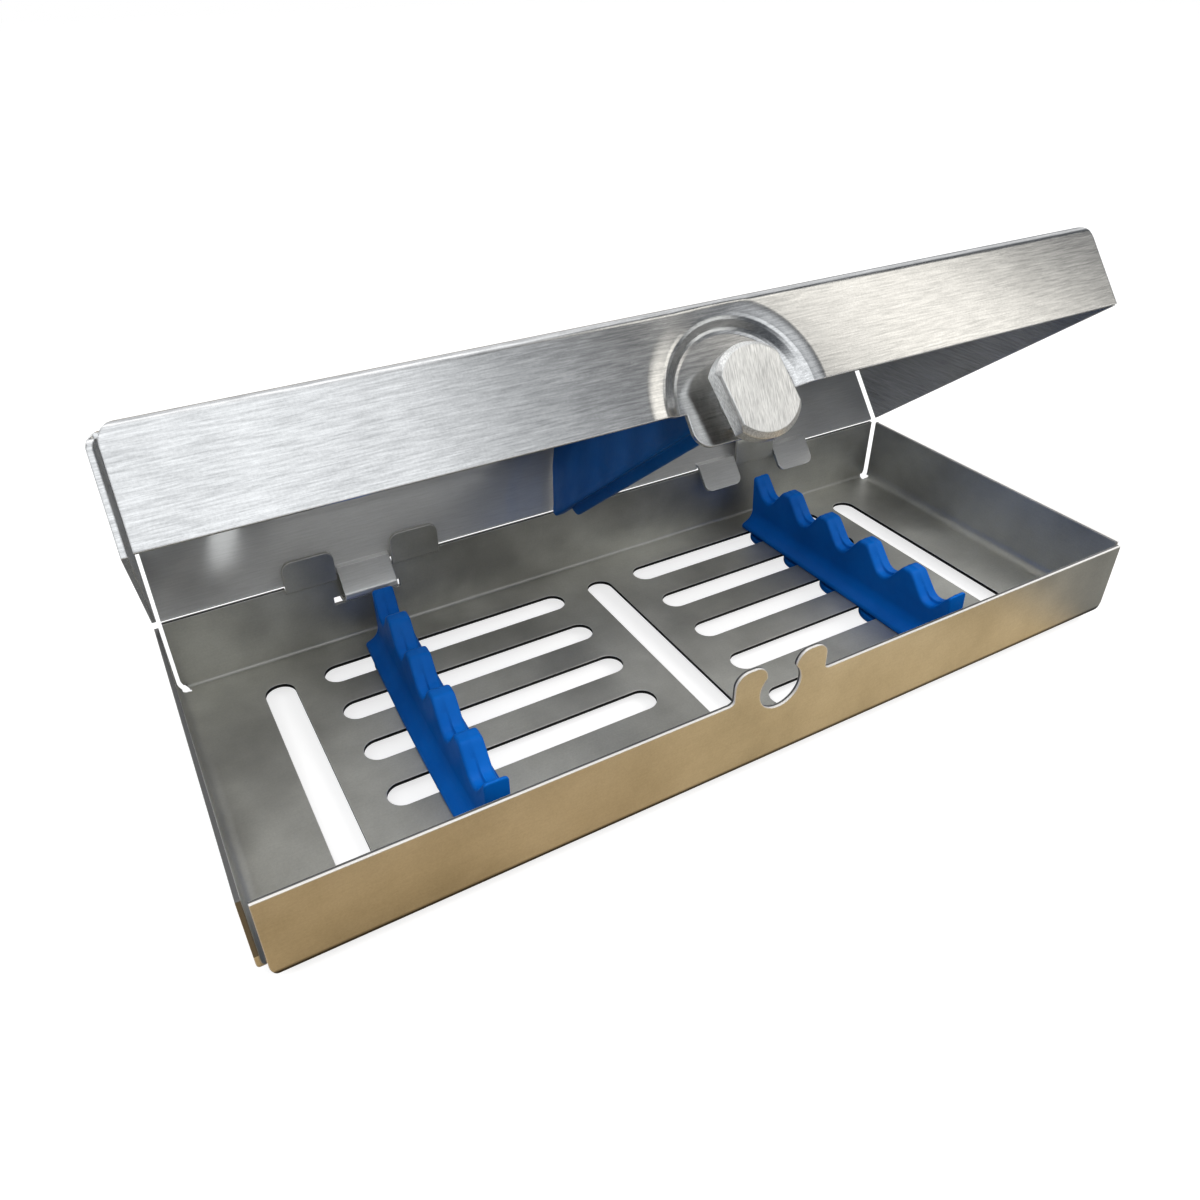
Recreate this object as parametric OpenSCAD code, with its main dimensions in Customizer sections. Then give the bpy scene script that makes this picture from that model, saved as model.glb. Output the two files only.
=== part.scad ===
// Dental instrument cassette: two bent-sheet halves on curled-tongue hinges,
// a quarter-turn knob latch, two notched silicone rails and one hold-down pad.
// X runs along the cassette, Y to the hinge side, Z up from the surface it stands on.

/* [Sheet halves] */
// outside length of both halves
tray_length = 180; // [170:1:220]
// outside width of both halves
tray_width = 72.6; // [72:0.2:80]
// wall height of one half
wall_h = 16.4; // [16:0.2:22]
// sheet thickness
sheet_t = 0.8; // [0.7:0.05:0.9]
// outside bend radius along the long sides
side_bend = 1.5; // [1.2:0.1:2]
// outside bend radius at the short ends
end_bend = 3; // [2:0.1:4]
// distance from a corner to the end of each wall
corner_gap = 1.5; // [1.2:0.1:2]
// rounding of the lower corners of each wall
corner_round = 3; // [2:0.1:4]
// diameter of the relief hole at each floor corner
relief_d = 2.5; // [1.6:0.1:2.8]
// gap between the two rims when shut
rim_gap = 0.1; // [0.1:0.05:0.4]
// how far the lid stands open in this pose
lid_open = 39; // [0:1:140]

/* [Perforation] */
// width of the crosswise slots
cross_slot_w = 5.8; // [5:0.1:7]
// distance from the ends of the crosswise slots to the outside of the walls
cross_slot_margin = 9; // [7:0.2:11]
// distance from the middle to an outer crosswise slot
cross_slot_x = 72; // [70:0.2:76]
// width of the lengthwise slots
long_slot_w = 5.7; // [5:0.1:6.5]
// length of the lengthwise slots
long_slot_l = 53.8; // [40:0.2:55]
// distance from the middle to the centre of a lengthwise slot
long_slot_x = 36.2; // [34:0.1:37]
// spacing of the lengthwise slots
slot_pitch = 12.4; // [12:0.1:12.8]
// least distance from an outermost row of slots to the outside of the walls
row_margin = 10; // [9:0.5:11]

/* [Hinges] */
// distance from the middle to each hinge
hinge_x = 49.3; // [40:0.1:60]
// distance from the back face to the hinge line
hinge_out = 0.15; // [0.15:0.05:0.5]
// clearance between an inner tab and the wall beside it
tab_gap = 0.25; // [0.2:0.05:0.4]
// width of each guide tab
tab_w = 10.2; // [8:0.1:11]
// length of each guide tab beyond the rim
tab_h = 6.2; // [5:0.1:6.2]
// corner rounding of each guide tab
tab_round = 1.9; // [1:0.1:3]
// width of the curled tongue
tongue_w = 10.9; // [8:0.1:11]
// gap between the curled tongue and each guide tab
tongue_side = 0.4; // [0.3:0.05:0.8]
// height of the wall strip that the tongue curls around
strip_h = 5.1; // [4.5:0.1:5.3]
// height of the slot under that strip
strip_slot_h = 1.8; // [1.7:0.05:2.2]
// how much longer the slot is than the tongue, each end
strip_slot_side = 1.6; // [0.8:0.1:2.2]
// clearance between strip and curl
curl_gap = 0.3; // [0.2:0.05:0.35]
// outside radius of the bend where the tongue turns into its curl
curl_bend = 1.3; // [1:0.05:1.4]
// angle through which the curl reaches round the hinge line
curl_sweep = 168; // [90:1:168]
// height above the rim at which a tab begins to step inwards
step_start = 0.9; // [0.8:0.1:2]
// height above the rim at which the step is complete
step_end = 0.15; // [0.1:0.05:0.4]

/* [Latch plate] */
// half width of the two horns together
horn_half = 9.6; // [9:0.1:10.4]
// height of the horns above the rim
horn_h = 5.9; // [5:0.1:6.4]
// rounding of the horn tops
horn_round = 2.6; // [1.5:0.1:3]
// half width of the mouth between the horns
mouth_half = 3.15; // [2.9:0.05:3.3]
// radius of the round seat below the mouth
seat_r = 4.4; // [4:0.05:4.6]
// fillet where a horn meets the rim
horn_fillet = 0.9; // [0.5:0.1:1.5]
// outer radius of the pressed dish in the lid
dish_out_r = 14; // [12.6:0.1:14]
// radius of the flat inside the dish
dish_flat_r = 11; // [10.9:0.1:12]
// depth of the pressed dish
dish_depth = 1.3; // [1.3:0.05:1.6]
// half width of the plate that hangs below the lid rim
apron_half = 9.8; // [8:0.1:10]
// depth of that plate below the rim
apron_h = 5.7; // [5:0.1:6]
// corner rounding of that plate
apron_round = 3; // [2:0.1:4]

/* [Knob] */
// radius of the knob head
head_r = 7.6; // [7:0.1:8.5]
// half distance across the head's flats
head_flat = 5.9; // [5.4:0.1:6.4]
// thickness of the knob head
head_h = 2.9; // [2.6:0.1:5]
// gap between the head and the lid's outer face
head_gap = 2.1; // [1.5:0.1:2.2]
// chamfer on the round edges of the head
head_chamfer = 0.8; // [0.4:0.1:1]
// chamfer on the flat edges of the head
flat_chamfer = 0.35; // [0.2:0.05:0.6]
// radius of the spindle
spindle_r = 3.7; // [3.4:0.05:3.75]
// half distance across the spindle's flats
spindle_flat = 2.1; // [1.8:0.05:2.2]
// how far the knob stands turned in this pose
knob_turn = 8; // [0:1:90]
// radial play of the spindle in the lid
spindle_play = 0.08; // [0.02:0.01:0.1]
// free gap between stacked washers
stack_gap = 0.04; // [0.03:0.01:0.06]
// thickness of each washer and of the clip
washer_t = 0.5; // [0.4:0.05:0.5]
// outer radius of the flat washer
washer_r = 5.6; // [5:0.1:6]
// outer radius of the split washer
split_r = 5.3; // [4.8:0.1:5.6]
// radial play of the washers on the spindle
washer_play = 0.1; // [0.05:0.01:0.2]
// width of the cut in the split washer
split_w = 0.7; // [0.4:0.1:1]
// outer radius of the retaining clip
clip_r = 5.2; // [4.8:0.1:5.4]
// radius at the bottom of the clip groove
groove_r = 3; // [2.8:0.05:3.2]
// half width of the clip's open side
clip_mouth = 2.4; // [2:0.1:2.8]
// depth of the lobe cuts in the clip
clip_cut = 0.9; // [0.5:0.1:1]
// length of spindle left beyond the clip
spindle_end = 0.35; // [0.3:0.05:0.4]

/* [Rails] */
// distance from the middle to the left rail
left_rail_x = 48.8; // [20:0.1:55]
// distance from the middle to the right rail
right_rail_x = 49.4; // [20:0.1:55]
// how far the left rail stands askew
left_skew = 2.2; // [0:0.1:3]
// how far the right rail stands askew
right_skew = 1.3; // [0:0.1:2]
// distance from the ends of a rail to the outside of the walls
rail_end_gap = 6.3; // [6:0.1:8]
// thickness of the notched web
web_t = 4.3; // [3:0.1:4.5]
// height of the web's peaks above the floor
peak_h = 13.7; // [12:0.1:13.8]
// rounding radius of the web's ends
end_round = 0.6; // [0.4:0.1:1]
// radius of the fillet between web and flange
web_fillet = 3.2; // [1:0.1:3.6]
// height of the valleys above the floor
valley_h = 9; // [7:0.1:9.2]
// radius at the bottom of a valley
valley_r = 2.6; // [2:0.1:3]
// rounding radius of a peak
peak_r = 1.3; // [1:0.1:1.5]
// width of the flange that lies on the floor
flange_w = 10.2; // [8:0.1:11]
// height of the flange at its edges
flange_edge = 0.9; // [0.5:0.1:1.5]
// height of the flange at its crown
flange_h = 2.3; // [2:0.1:3]
// gap between silicone and sheet
rail_lift = 0.05; // [0.03:0.01:0.1]
// radius of the stud necks
stud_r = 2.6; // [2:0.1:2.6]
// radius of the stud heads
foot_r = 5; // [4:0.1:5.4]
// thickness of the stud heads
foot_h = 1.6; // [1.2:0.1:2]
// chamfer on the stud heads
foot_chamfer = 0.4; // [0.2:0.1:0.6]

/* [Hold-down pad] */
// gap between the pad's end and the end of the knob's spindle
pad_gap = 0.6; // [0.4:0.1:4]
// thickness of the pad blade
blade_t = 2.2; // [1.6:0.1:3]
// height of the blade from the lid to its fold
blade_h = 17.7; // [14:0.1:18]
// how far the blade leans at its fold
blade_lean = 5.5; // [0:0.1:6]
// distance from the slot's middle line to the blade's root
blade_root = 1; // [0:0.1:2]
// height of the lip below the fold
lip_h = 1.9; // [1:0.1:2.5]
// thickness of the lip
lip_t = 1.2; // [0.8:0.1:2]
// how far the lip leans back
lip_lean = 0.5; // [0:0.1:1]
// length without a lip at each end
lip_end = 8; // [4:0.1:12]
// corner rounding of the blade
blade_round = 1.4; // [0.8:0.1:2]
// distance from the ends of the middle slot to the pad's outer studs
stud_inset = 9.3; // [6:0.1:12]

/* [Hidden] */
$fn = 96;
over = 1;
far = tray_length;
floor_z = foot_h + sheet_t;
hinge_y = tray_width / 2 + hinge_out;
hinge_z = foot_h + wall_h + rim_gap / 2;
front_y = -tray_width / 2;
lid_in_z = 2 * hinge_z - floor_z;
// distances from the hinge line, towards the inside of the cassette
wall_out = hinge_out;
wall_in = hinge_out + sheet_t;
tab_out = wall_in + tab_gap;
tab_in = tab_out + sheet_t;
strip_low = rim_gap / 2 + strip_h;
curl_in_r = sqrt(pow(wall_in, 2) + pow(strip_low, 2)) + curl_gap;
curl_out_r = curl_in_r + sheet_t;
// centre of the tongue's bend, where its curl begins, and how far the bend's skin lies inside
bend_y = tab_in - curl_bend;
bend_z = sqrt(pow(curl_out_r - curl_bend, 2) - pow(bend_y, 2));
curl_lead = atan2(bend_y, bend_z);
bend_skin = sheet_t / 40;
bend_lap = 3;
bend_steps = 12;
// how far the inner corners of a step lie below its outer ones
step_lean = atan2(tab_out - wall_out, step_start - step_end);
step_drop = sheet_t * tan(step_lean / 2);
tab_far = tongue_w / 2 + tongue_side + tab_w;
crown_rise = flange_h - flange_edge;
crown_r = (pow(flange_w / 2, 2) + pow(crown_rise, 2)) / (2 * crown_rise);
valley_mid = valley_h + valley_r;
valley_mouth_share = 0.95;
flank_share = 0.99;
fillet_share = 0.98;
// rows of slots that fit, and what follows from the width
row_count = floor((tray_width - 2 * row_margin) / slot_pitch) + 1;
slot_shares = [for (i = [0 : row_count - 1]) i - (row_count - 1) / 2];
cross_slot_l = tray_width - 2 * cross_slot_margin;
rail_half = tray_width / 2 - rail_end_gap;
spindle_in = dish_depth + sheet_t + 3 * washer_t + 4 * stack_gap + spindle_end;
pad_half = tray_width / 2 - spindle_in - pad_gap;
pad_pitch = cross_slot_l / 2 - stud_inset;
side_shares = [-1, 1];
dish_steps = 6;
quarter_turn = 90;
half_turn = 180;

// a bar with round ends along X, cut through a sheet of the given thickness
module stadium(len, wid, deep) {
  linear_extrude(height = deep) {
    square([len - wid, wid], center = true);
    translate([(len - wid) / 2, 0]) circle(d = wid);
    translate([(wid - len) / 2, 0]) circle(d = wid);
  }
}

// outline of a wall seen from outside: square rim corners, rounded lower corners
module wall_outline(len) {
  translate([-len / 2, corner_round]) square([len, wall_h - corner_round]);
  translate([corner_round - len / 2, 0]) square([len - 2 * corner_round, wall_h]);
  for (side = side_shares) {
    translate([side * (len / 2 - corner_round), corner_round]) circle(r = corner_round);
  }
}

// one upright wall along X with its bend: outer face on y = 0, inside towards +Y
module bent_wall(len, bend) {
  intersection() {
    union() {
      translate([-len / 2, 0, bend]) cube([len, sheet_t, wall_h - bend]);
      intersection() {
        translate([-len / 2, bend, bend]) rotate([0, 90, 0]) difference() {
          cylinder(r = bend, h = len);
          translate([0, 0, -over]) cylinder(r = bend - sheet_t, h = len + 2 * over);
        }
        translate([-len / 2, 0, 0]) cube([len, bend, bend]);
      }
    }
    translate([0, bend + over, 0]) rotate([90, 0, 0]) linear_extrude(height = bend + 2 * over)
      wall_outline(len);
  }
}

// floor, four walls and corner relief of one half, standing on z = 0
module folded_blank() {
  difference() {
    union() {
      translate([end_bend - tray_length / 2, side_bend - tray_width / 2, 0])
        cube([tray_length - 2 * end_bend, tray_width - 2 * side_bend, sheet_t]);
      for (turn = [0, 180]) {
        rotate([0, 0, turn]) translate([0, -tray_width / 2, 0])
          bent_wall(tray_length - 2 * corner_gap, side_bend);
        rotate([0, 0, turn + 90]) translate([0, -tray_length / 2, 0])
          bent_wall(tray_width - 2 * corner_gap, end_bend);
      }
    }
    for (sx = side_shares, sy = side_shares) {
      translate([sx * (tray_length / 2 - corner_gap), sy * (tray_width / 2 - corner_gap), -over])
        cylinder(d = relief_d, h = over + side_bend);
    }
  }
}

// the slots of one half, cut down through its floor
module perforation() {
  for (share = side_shares) {
    translate([share * cross_slot_x, 0, -over]) rotate([0, 0, 90])
      stadium(cross_slot_l, cross_slot_w, sheet_t + 2 * over);
    for (row = slot_shares) {
      translate([share * long_slot_x, row * slot_pitch, -over])
        stadium(long_slot_l, long_slot_w, sheet_t + 2 * over);
    }
  }
  translate([0, 0, -over]) rotate([0, 0, 90])
    stadium(cross_slot_l, cross_slot_w, sheet_t + 2 * over);
}

// the slanted step that carries a tab inwards, seen along X from the hinge line
module step_profile() {
  polygon([[-wall_out, -step_start - over], [-wall_out, -step_start], [-tab_out, -step_end],
           [-tab_out, over - step_end], [-tab_in, over - step_end],
           [-tab_in, -step_end - step_drop], [-wall_in, -step_start - step_drop],
           [-wall_in, -step_start - over]]);
}

// a profile drawn in Y and Z, given a width along X
module along_x(wid) {
  translate([-wid / 2, 0, 0]) rotate([90, 0, 90]) linear_extrude(height = wid) children();
}

// guide tab standing up past the rim, inside the other half's wall
module guide_tab() {
  along_x(tab_w) step_profile();
  translate([0, -tab_out, 0]) rotate([90, 0, 0]) linear_extrude(height = sheet_t) {
    translate([-tab_w / 2, -step_end]) square([tab_w, tab_h + step_end - tab_round]);
    translate([tab_round - tab_w / 2, -step_end])
      square([tab_w - 2 * tab_round, tab_h + step_end]);
    for (side = side_shares) {
      translate([side * (tab_w / 2 - tab_round), tab_h - tab_round]) circle(r = tab_round);
    }
  }
}

// part of a ring round the hinge line, from straight up towards the outside
module curl_ring(inner, outer, sweep) {
  translate([tongue_w / 2, 0, 0]) rotate([0, -90, 0]) rotate_extrude(angle = sweep)
    translate([inner, 0]) square([outer - inner, tongue_w]);
}

// one side of the bend between leg and curl: starts in the leg and ends in the curl
function bend_side(bend_r, curl_r) = concat(
  [[-bend_y - bend_r, bend_z - over]],
  [for (i = [0 : bend_steps]) let (a = (quarter_turn + curl_lead) * i / bend_steps)
    [-bend_y - bend_r * cos(a), bend_z + bend_r * sin(a)]],
  [[-curl_r * sin(curl_lead - bend_lap), curl_r * cos(curl_lead - bend_lap)]]);

// tongue that rises inside the other half's wall and curls out through its slot
module curled_tongue() {
  out_side = bend_side(curl_bend - bend_skin, curl_out_r - bend_skin);
  in_side = bend_side(curl_bend - sheet_t + bend_skin, curl_in_r + bend_skin);
  along_x(tongue_w) step_profile();
  translate([-tongue_w / 2, -tab_in, -step_end]) cube([tongue_w, sheet_t, bend_z + step_end]);
  along_x(tongue_w)
    polygon(concat(out_side, [for (i = [len(in_side) - 1 : -1 : 0]) in_side[i]]));
  rotate([curl_lead, 0, 0]) curl_ring(curl_in_r, curl_out_r, curl_sweep + curl_lead);
}

// one half with its perforation and hinge features, standing in the shared frame
module half_shell() {
  difference() {
    translate([0, 0, foot_h]) difference() {
      folded_blank();
      perforation();
    }
    translate([0, hinge_y, hinge_z]) {
      for (side = side_shares) {
        translate([side * (tab_far - tab_w / 2) - hinge_x, 0, 0]) rim_cut(tab_w);
      }
      translate([hinge_x, 0, 0]) rim_cut(tongue_w);
      translate([-hinge_x - tongue_w / 2 - strip_slot_side, -wall_in - over,
                 -strip_low - strip_slot_h])
        cube([tongue_w + 2 * strip_slot_side, sheet_t + 2 * over, strip_slot_h]);
    }
  }
  translate([0, hinge_y, hinge_z]) {
    for (side = side_shares) {
      translate([side * (tab_far - tab_w / 2) - hinge_x, 0, 0]) guide_tab();
    }
    translate([hinge_x, 0, 0]) curled_tongue();
  }
}

// room in the rim for the step of a tab
module rim_cut(wid) {
  translate([-wid / 2, -wall_in - over, -step_start]) cube([wid, sheet_t + 2 * over, far]);
}

// turns a half over end for end, so that it becomes the shut lid
module flip() {
  translate([0, 0, 2 * hinge_z]) rotate([0, 180, 0]) children();
}

// swings what is drawn in the shut position to the lid's pose
module lid_pose() {
  translate([0, hinge_y, hinge_z]) rotate([-lid_open, 0, 0])
    translate([0, -hinge_y, -hinge_z]) children();
}

// moves what is drawn along +Z, outwards from the lid face, onto the shut latch axis
module latch_axis() {
  translate([0, front_y, hinge_z]) rotate([90, 0, 0]) children();
}

// the two horns as a flat outline, rim level at y = 0
module horn_outline() {
  difference() {
    union() {
      for (side = [0, 1]) mirror([side, 0]) {
        translate([mouth_half, -horn_h]) square([horn_half - mouth_half, 2 * horn_h - horn_round]);
        translate([mouth_half + horn_round, -horn_h])
          square([horn_half - mouth_half - 2 * horn_round, 2 * horn_h]);
        translate([mouth_half + horn_round, horn_h - horn_round]) circle(r = horn_round);
        translate([horn_half - horn_round, horn_h - horn_round]) circle(r = horn_round);
        difference() {
          translate([horn_half - horn_fillet, -horn_fillet])
            square([2 * horn_fillet, 2 * horn_fillet]);
          translate([horn_half + horn_fillet, horn_fillet]) circle(r = horn_fillet);
        }
      }
    }
    circle(r = seat_r);
  }
}

// profile of the pressed dish: radius across, depth up
module dish_profile() {
  polygon(concat(
    [for (i = [0 : dish_steps])
      [dish_out_r - (dish_out_r - dish_flat_r) * i / dish_steps,
       dish_depth * (1 - cos(half_turn * i / dish_steps)) / 2]],
    [[0, dish_depth], [0, dish_depth + sheet_t]],
    [for (i = [dish_steps : -1 : 0])
      [dish_out_r - (dish_out_r - dish_flat_r) * i / dish_steps,
       dish_depth * (1 - cos(half_turn * i / dish_steps)) / 2 + sheet_t]]));
}

// outline of a silicone flange with a convex back, lying on y = 0
module flange_outline() {
  intersection() {
    translate([-flange_w / 2, 0]) square([flange_w, flange_h]);
    translate([0, flange_h - crown_r]) circle(r = crown_r);
  }
}

// hollow roundings that lead from the flange up into both sides of the web
module web_roots() {
  root_x = web_t / 2 + web_fillet * fillet_share;
  reach = crown_r + web_fillet * fillet_share;
  root_z = flange_h - crown_r + sqrt(pow(reach, 2) - pow(root_x, 2));
  foot_x = crown_r * root_x / reach;
  difference() {
    translate([-foot_x, flange_edge]) square([2 * foot_x, root_z - flange_edge]);
    for (side = side_shares) translate([side * root_x, root_z]) circle(r = web_fillet);
  }
}

// an outline drawn across a rail or the pad, carried along its length
module along_rail(half_len) {
  translate([0, half_len, 0]) rotate([90, 0, 0]) linear_extrude(height = 2 * half_len)
    children();
}

// stud that hangs through a slot: neck and wide head, top of the sheet at z = 0
module stud() {
  translate([0, 0, -sheet_t - 2 * rail_lift]) cylinder(r = stud_r, h = sheet_t + 3 * rail_lift);
  translate([0, 0, foot_chamfer - floor_z]) cylinder(r = foot_r, h = foot_h - foot_chamfer - rail_lift);
  translate([0, 0, -floor_z]) cylinder(r1 = foot_r - foot_chamfer, r2 = foot_r, h = foot_chamfer);
}

// the room for one instrument in the web, as an outline: valley bottom at its own height
module valley_outline() {
  reach = slot_pitch / 2 - peak_r * valley_mouth_share;
  drop = peak_h - valley_mid;
  dist = sqrt(pow(reach, 2) + pow(drop, 2));
  lean = atan2(drop, reach) - acos(valley_r / dist);
  flank_r = valley_r * flank_share;
  translate([0, valley_mid]) circle(r = valley_r);
  polygon([[flank_r * cos(lean), valley_mid + flank_r * sin(lean)], [reach, peak_h],
           [reach, peak_h + over], [-reach, peak_h + over], [-reach, peak_h],
           [-flank_r * cos(lean), valley_mid + flank_r * sin(lean)]]);
}

// a rail with its web notched for the instruments and studs below
module rail() {
  translate([0, 0, floor_z]) {
    translate([0, 0, rail_lift]) along_rail(rail_half) {
      flange_outline();
      web_roots();
    }
    translate([-web_t / 2, 0, 0]) rotate([90, 0, 90]) linear_extrude(height = web_t)
      difference() {
        union() {
          translate([-rail_half, flange_edge])
            square([2 * rail_half, peak_h - flange_edge - end_round]);
          translate([end_round - rail_half, flange_edge])
            square([2 * (rail_half - end_round), peak_h - flange_edge]);
          for (side = side_shares) {
            translate([side * (rail_half - end_round), peak_h - end_round]) circle(r = end_round);
          }
        }
        for (row = slot_shares) translate([row * slot_pitch, 0]) valley_outline();
      }
    for (row = slot_shares) translate([0, row * slot_pitch, 0]) stud();
  }
}

module base_tray() {
  color([0.72, 0.7, 0.67]) {
    difference() {
      half_shell();
      latch_axis() translate([0, 0, -sheet_t - over]) cylinder(r = seat_r, h = sheet_t + 2 * over);
    }
    latch_axis() translate([0, 0, -sheet_t]) linear_extrude(height = sheet_t) horn_outline();
  }
}

module lid_tray() {
  color([0.78, 0.78, 0.79]) lid_pose() difference() {
    union() {
      difference() {
        flip() half_shell();
        latch_axis() translate([0, 0, -sheet_t - over])
          cylinder(r = dish_out_r, h = sheet_t + 2 * over);
      }
      latch_axis() mirror([0, 0, 1]) intersection() {
        rotate_extrude() dish_profile();
        translate([-dish_out_r, rim_gap / 2, 0])
          cube([2 * dish_out_r, dish_out_r, dish_depth + sheet_t]);
      }
      latch_axis() translate([0, 0, -dish_depth - sheet_t]) linear_extrude(height = sheet_t) {
        translate([-apron_half, apron_round - apron_h])
          square([2 * apron_half, apron_h + rim_gap - apron_round]);
        translate([apron_round - apron_half, -apron_h])
          square([2 * (apron_half - apron_round), apron_h + rim_gap]);
        for (side = side_shares) {
          translate([side * (apron_half - apron_round), apron_round - apron_h])
            circle(r = apron_round);
        }
      }
    }
    latch_axis() translate([0, 0, -dish_depth - sheet_t - over])
      cylinder(r = spindle_r + spindle_play, h = sheet_t + 2 * over);
  }
}

module rail_left() {
  color([0, 0.3, 0.7]) translate([-left_rail_x, 0, 0]) rotate([0, 0, -left_skew]) rail();
}

module rail_right() {
  color([0, 0.3, 0.7]) translate([right_rail_x, 0, 0]) rotate([0, 0, right_skew]) rail();
}

// blade outline across the pad, lid face at y = 0 and the free edge up
module blade_section() {
  polygon([[-blade_t / 2, flange_edge], [-blade_t / 2 - blade_lean, blade_h],
           [blade_t / 2 - blade_lean, blade_h], [blade_t / 2, flange_edge]]);
}

module lip_section() {
  polygon([[blade_t / 2 - lip_t - blade_lean, blade_h - lip_t],
           [blade_t / 2 - lip_t + lip_lean - blade_lean, blade_h + lip_h],
           [blade_t / 2 + lip_lean - blade_lean, blade_h + lip_h],
           [blade_t / 2 - blade_lean, blade_h - lip_t]]);
}

module hold_down_pad() {
  color([0, 0.2, 0.5]) lid_pose() flip() mirror([1, 0, 0]) translate([0, 0, floor_z]) {
    translate([0, 0, rail_lift]) along_rail(pad_half) flange_outline();
    intersection() {
      translate([-blade_root, 0, 0]) along_rail(pad_half) blade_section();
      translate([-far / 2, 0, 0]) rotate([90, 0, 90]) linear_extrude(height = far) {
        translate([-pad_half, 0]) square([2 * pad_half, blade_h - blade_round]);
        translate([-pad_half, 0]) square([2 * pad_half - blade_round, blade_h]);
        translate([pad_half - blade_round, blade_h - blade_round]) circle(r = blade_round);
      }
    }
    translate([-blade_root, 0, 0]) along_rail(pad_half - lip_end) lip_section();
    for (row = [-1, 0, 1]) translate([0, row * pad_pitch, 0]) stud();
  }
}

// knob and spindle, turned from one bar
module latch_knob() {
  stack = dish_depth + sheet_t + 2 * washer_t + 3 * stack_gap;
  color([0.75, 0.75, 0.75]) lid_pose() latch_axis() rotate([0, 0, knob_turn]) {
    translate([0, 0, head_gap]) intersection() {
      union() {
        cylinder(r = head_r, h = head_h - head_chamfer);
        translate([0, 0, head_h - head_chamfer])
          cylinder(r1 = head_r, r2 = head_r - head_chamfer, h = head_chamfer);
      }
      translate([0, head_r + over, 0]) rotate([90, 0, 0]) linear_extrude(height = 2 * (head_r + over))
        polygon([[-head_flat, 0], [head_flat, 0], [head_flat, head_h - flat_chamfer],
                 [head_flat - flat_chamfer, head_h], [flat_chamfer - head_flat, head_h],
                 [-head_flat, head_h - flat_chamfer]]);
    }
    intersection() {
      translate([0, 0, stack_gap - dish_depth]) cylinder(r = spindle_r, h = dish_depth + head_gap);
      translate([-spindle_flat, -spindle_r, -far / 2]) cube([2 * spindle_flat, 2 * spindle_r, far]);
    }
    translate([0, 0, -stack]) cylinder(r = spindle_r, h = stack - dish_depth + stack_gap * 2);
    translate([0, 0, -stack - washer_t - stack_gap])
      cylinder(r = groove_r, h = washer_t + 2 * stack_gap);
    translate([0, 0, -stack - washer_t - stack_gap - spindle_end])
      cylinder(r1 = spindle_r - spindle_end / 2, r2 = spindle_r, h = spindle_end);
  }
}

module flat_washer() {
  color([0.7, 0.7, 0.7]) lid_pose() latch_axis()
    translate([0, 0, -dish_depth - sheet_t - stack_gap - washer_t]) linear_extrude(height = washer_t)
      difference() {
        circle(r = washer_r);
        circle(r = spindle_r + washer_play);
      }
}

module split_washer() {
  color([0.6, 0.6, 0.6]) lid_pose() latch_axis() rotate([0, 0, knob_turn])
    translate([0, 0, -dish_depth - sheet_t - 2 * stack_gap - 2 * washer_t])
      linear_extrude(height = washer_t) difference() {
        circle(r = split_r);
        circle(r = spindle_r + washer_play);
        translate([-split_w / 2, 0]) square([split_w, split_r + over]);
      }
}

module retaining_clip() {
  color([0.5, 0.5, 0.5]) lid_pose() latch_axis() rotate([0, 0, knob_turn])
    translate([0, 0, -dish_depth - sheet_t - 3 * stack_gap - 3 * washer_t])
      linear_extrude(height = washer_t) difference() {
        circle(r = clip_r);
        circle(r = groove_r + washer_play);
        translate([-clip_mouth, 0]) square([2 * clip_mouth, clip_r + over]);
        for (side = side_shares) {
          translate([side * (groove_r + washer_play), 0]) circle(r = clip_cut);
        }
        translate([0, -groove_r - washer_play]) circle(r = clip_cut);
      }
}

base_tray();
lid_tray();
rail_left();
rail_right();
hold_down_pad();
latch_knob();
flat_washer();
split_washer();
retaining_clip();
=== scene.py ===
"""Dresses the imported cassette: sheet halves, moulded rails and pad, turned knob and its washers."""
import logging
import math
from dataclasses import dataclass, field
from enum import Enum
from typing import Sequence

import bmesh
import bpy
from mathutils import Matrix, Vector


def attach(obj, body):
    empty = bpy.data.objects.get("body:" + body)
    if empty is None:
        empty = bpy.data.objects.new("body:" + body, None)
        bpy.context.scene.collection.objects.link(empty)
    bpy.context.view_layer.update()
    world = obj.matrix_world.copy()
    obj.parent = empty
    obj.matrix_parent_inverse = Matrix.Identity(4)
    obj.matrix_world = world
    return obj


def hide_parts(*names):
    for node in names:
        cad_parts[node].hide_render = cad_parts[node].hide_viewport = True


MM = 0.001
PER_METRE = 1000.0
PHOTO_SIZE = 1200
TINY = 1e-9

Point = tuple[float, float]
Colour = tuple[float, float, float, float]
Ring = list[Vector]
Socket = bpy.types.NodeSocket

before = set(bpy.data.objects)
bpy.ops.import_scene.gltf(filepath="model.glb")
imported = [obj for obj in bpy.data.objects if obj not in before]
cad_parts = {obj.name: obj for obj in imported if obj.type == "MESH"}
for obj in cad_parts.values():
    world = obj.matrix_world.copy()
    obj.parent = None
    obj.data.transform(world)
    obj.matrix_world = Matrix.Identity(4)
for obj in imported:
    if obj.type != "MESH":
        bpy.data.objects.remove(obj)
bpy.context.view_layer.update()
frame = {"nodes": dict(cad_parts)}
log = logging.getLogger("cassette")


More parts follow.
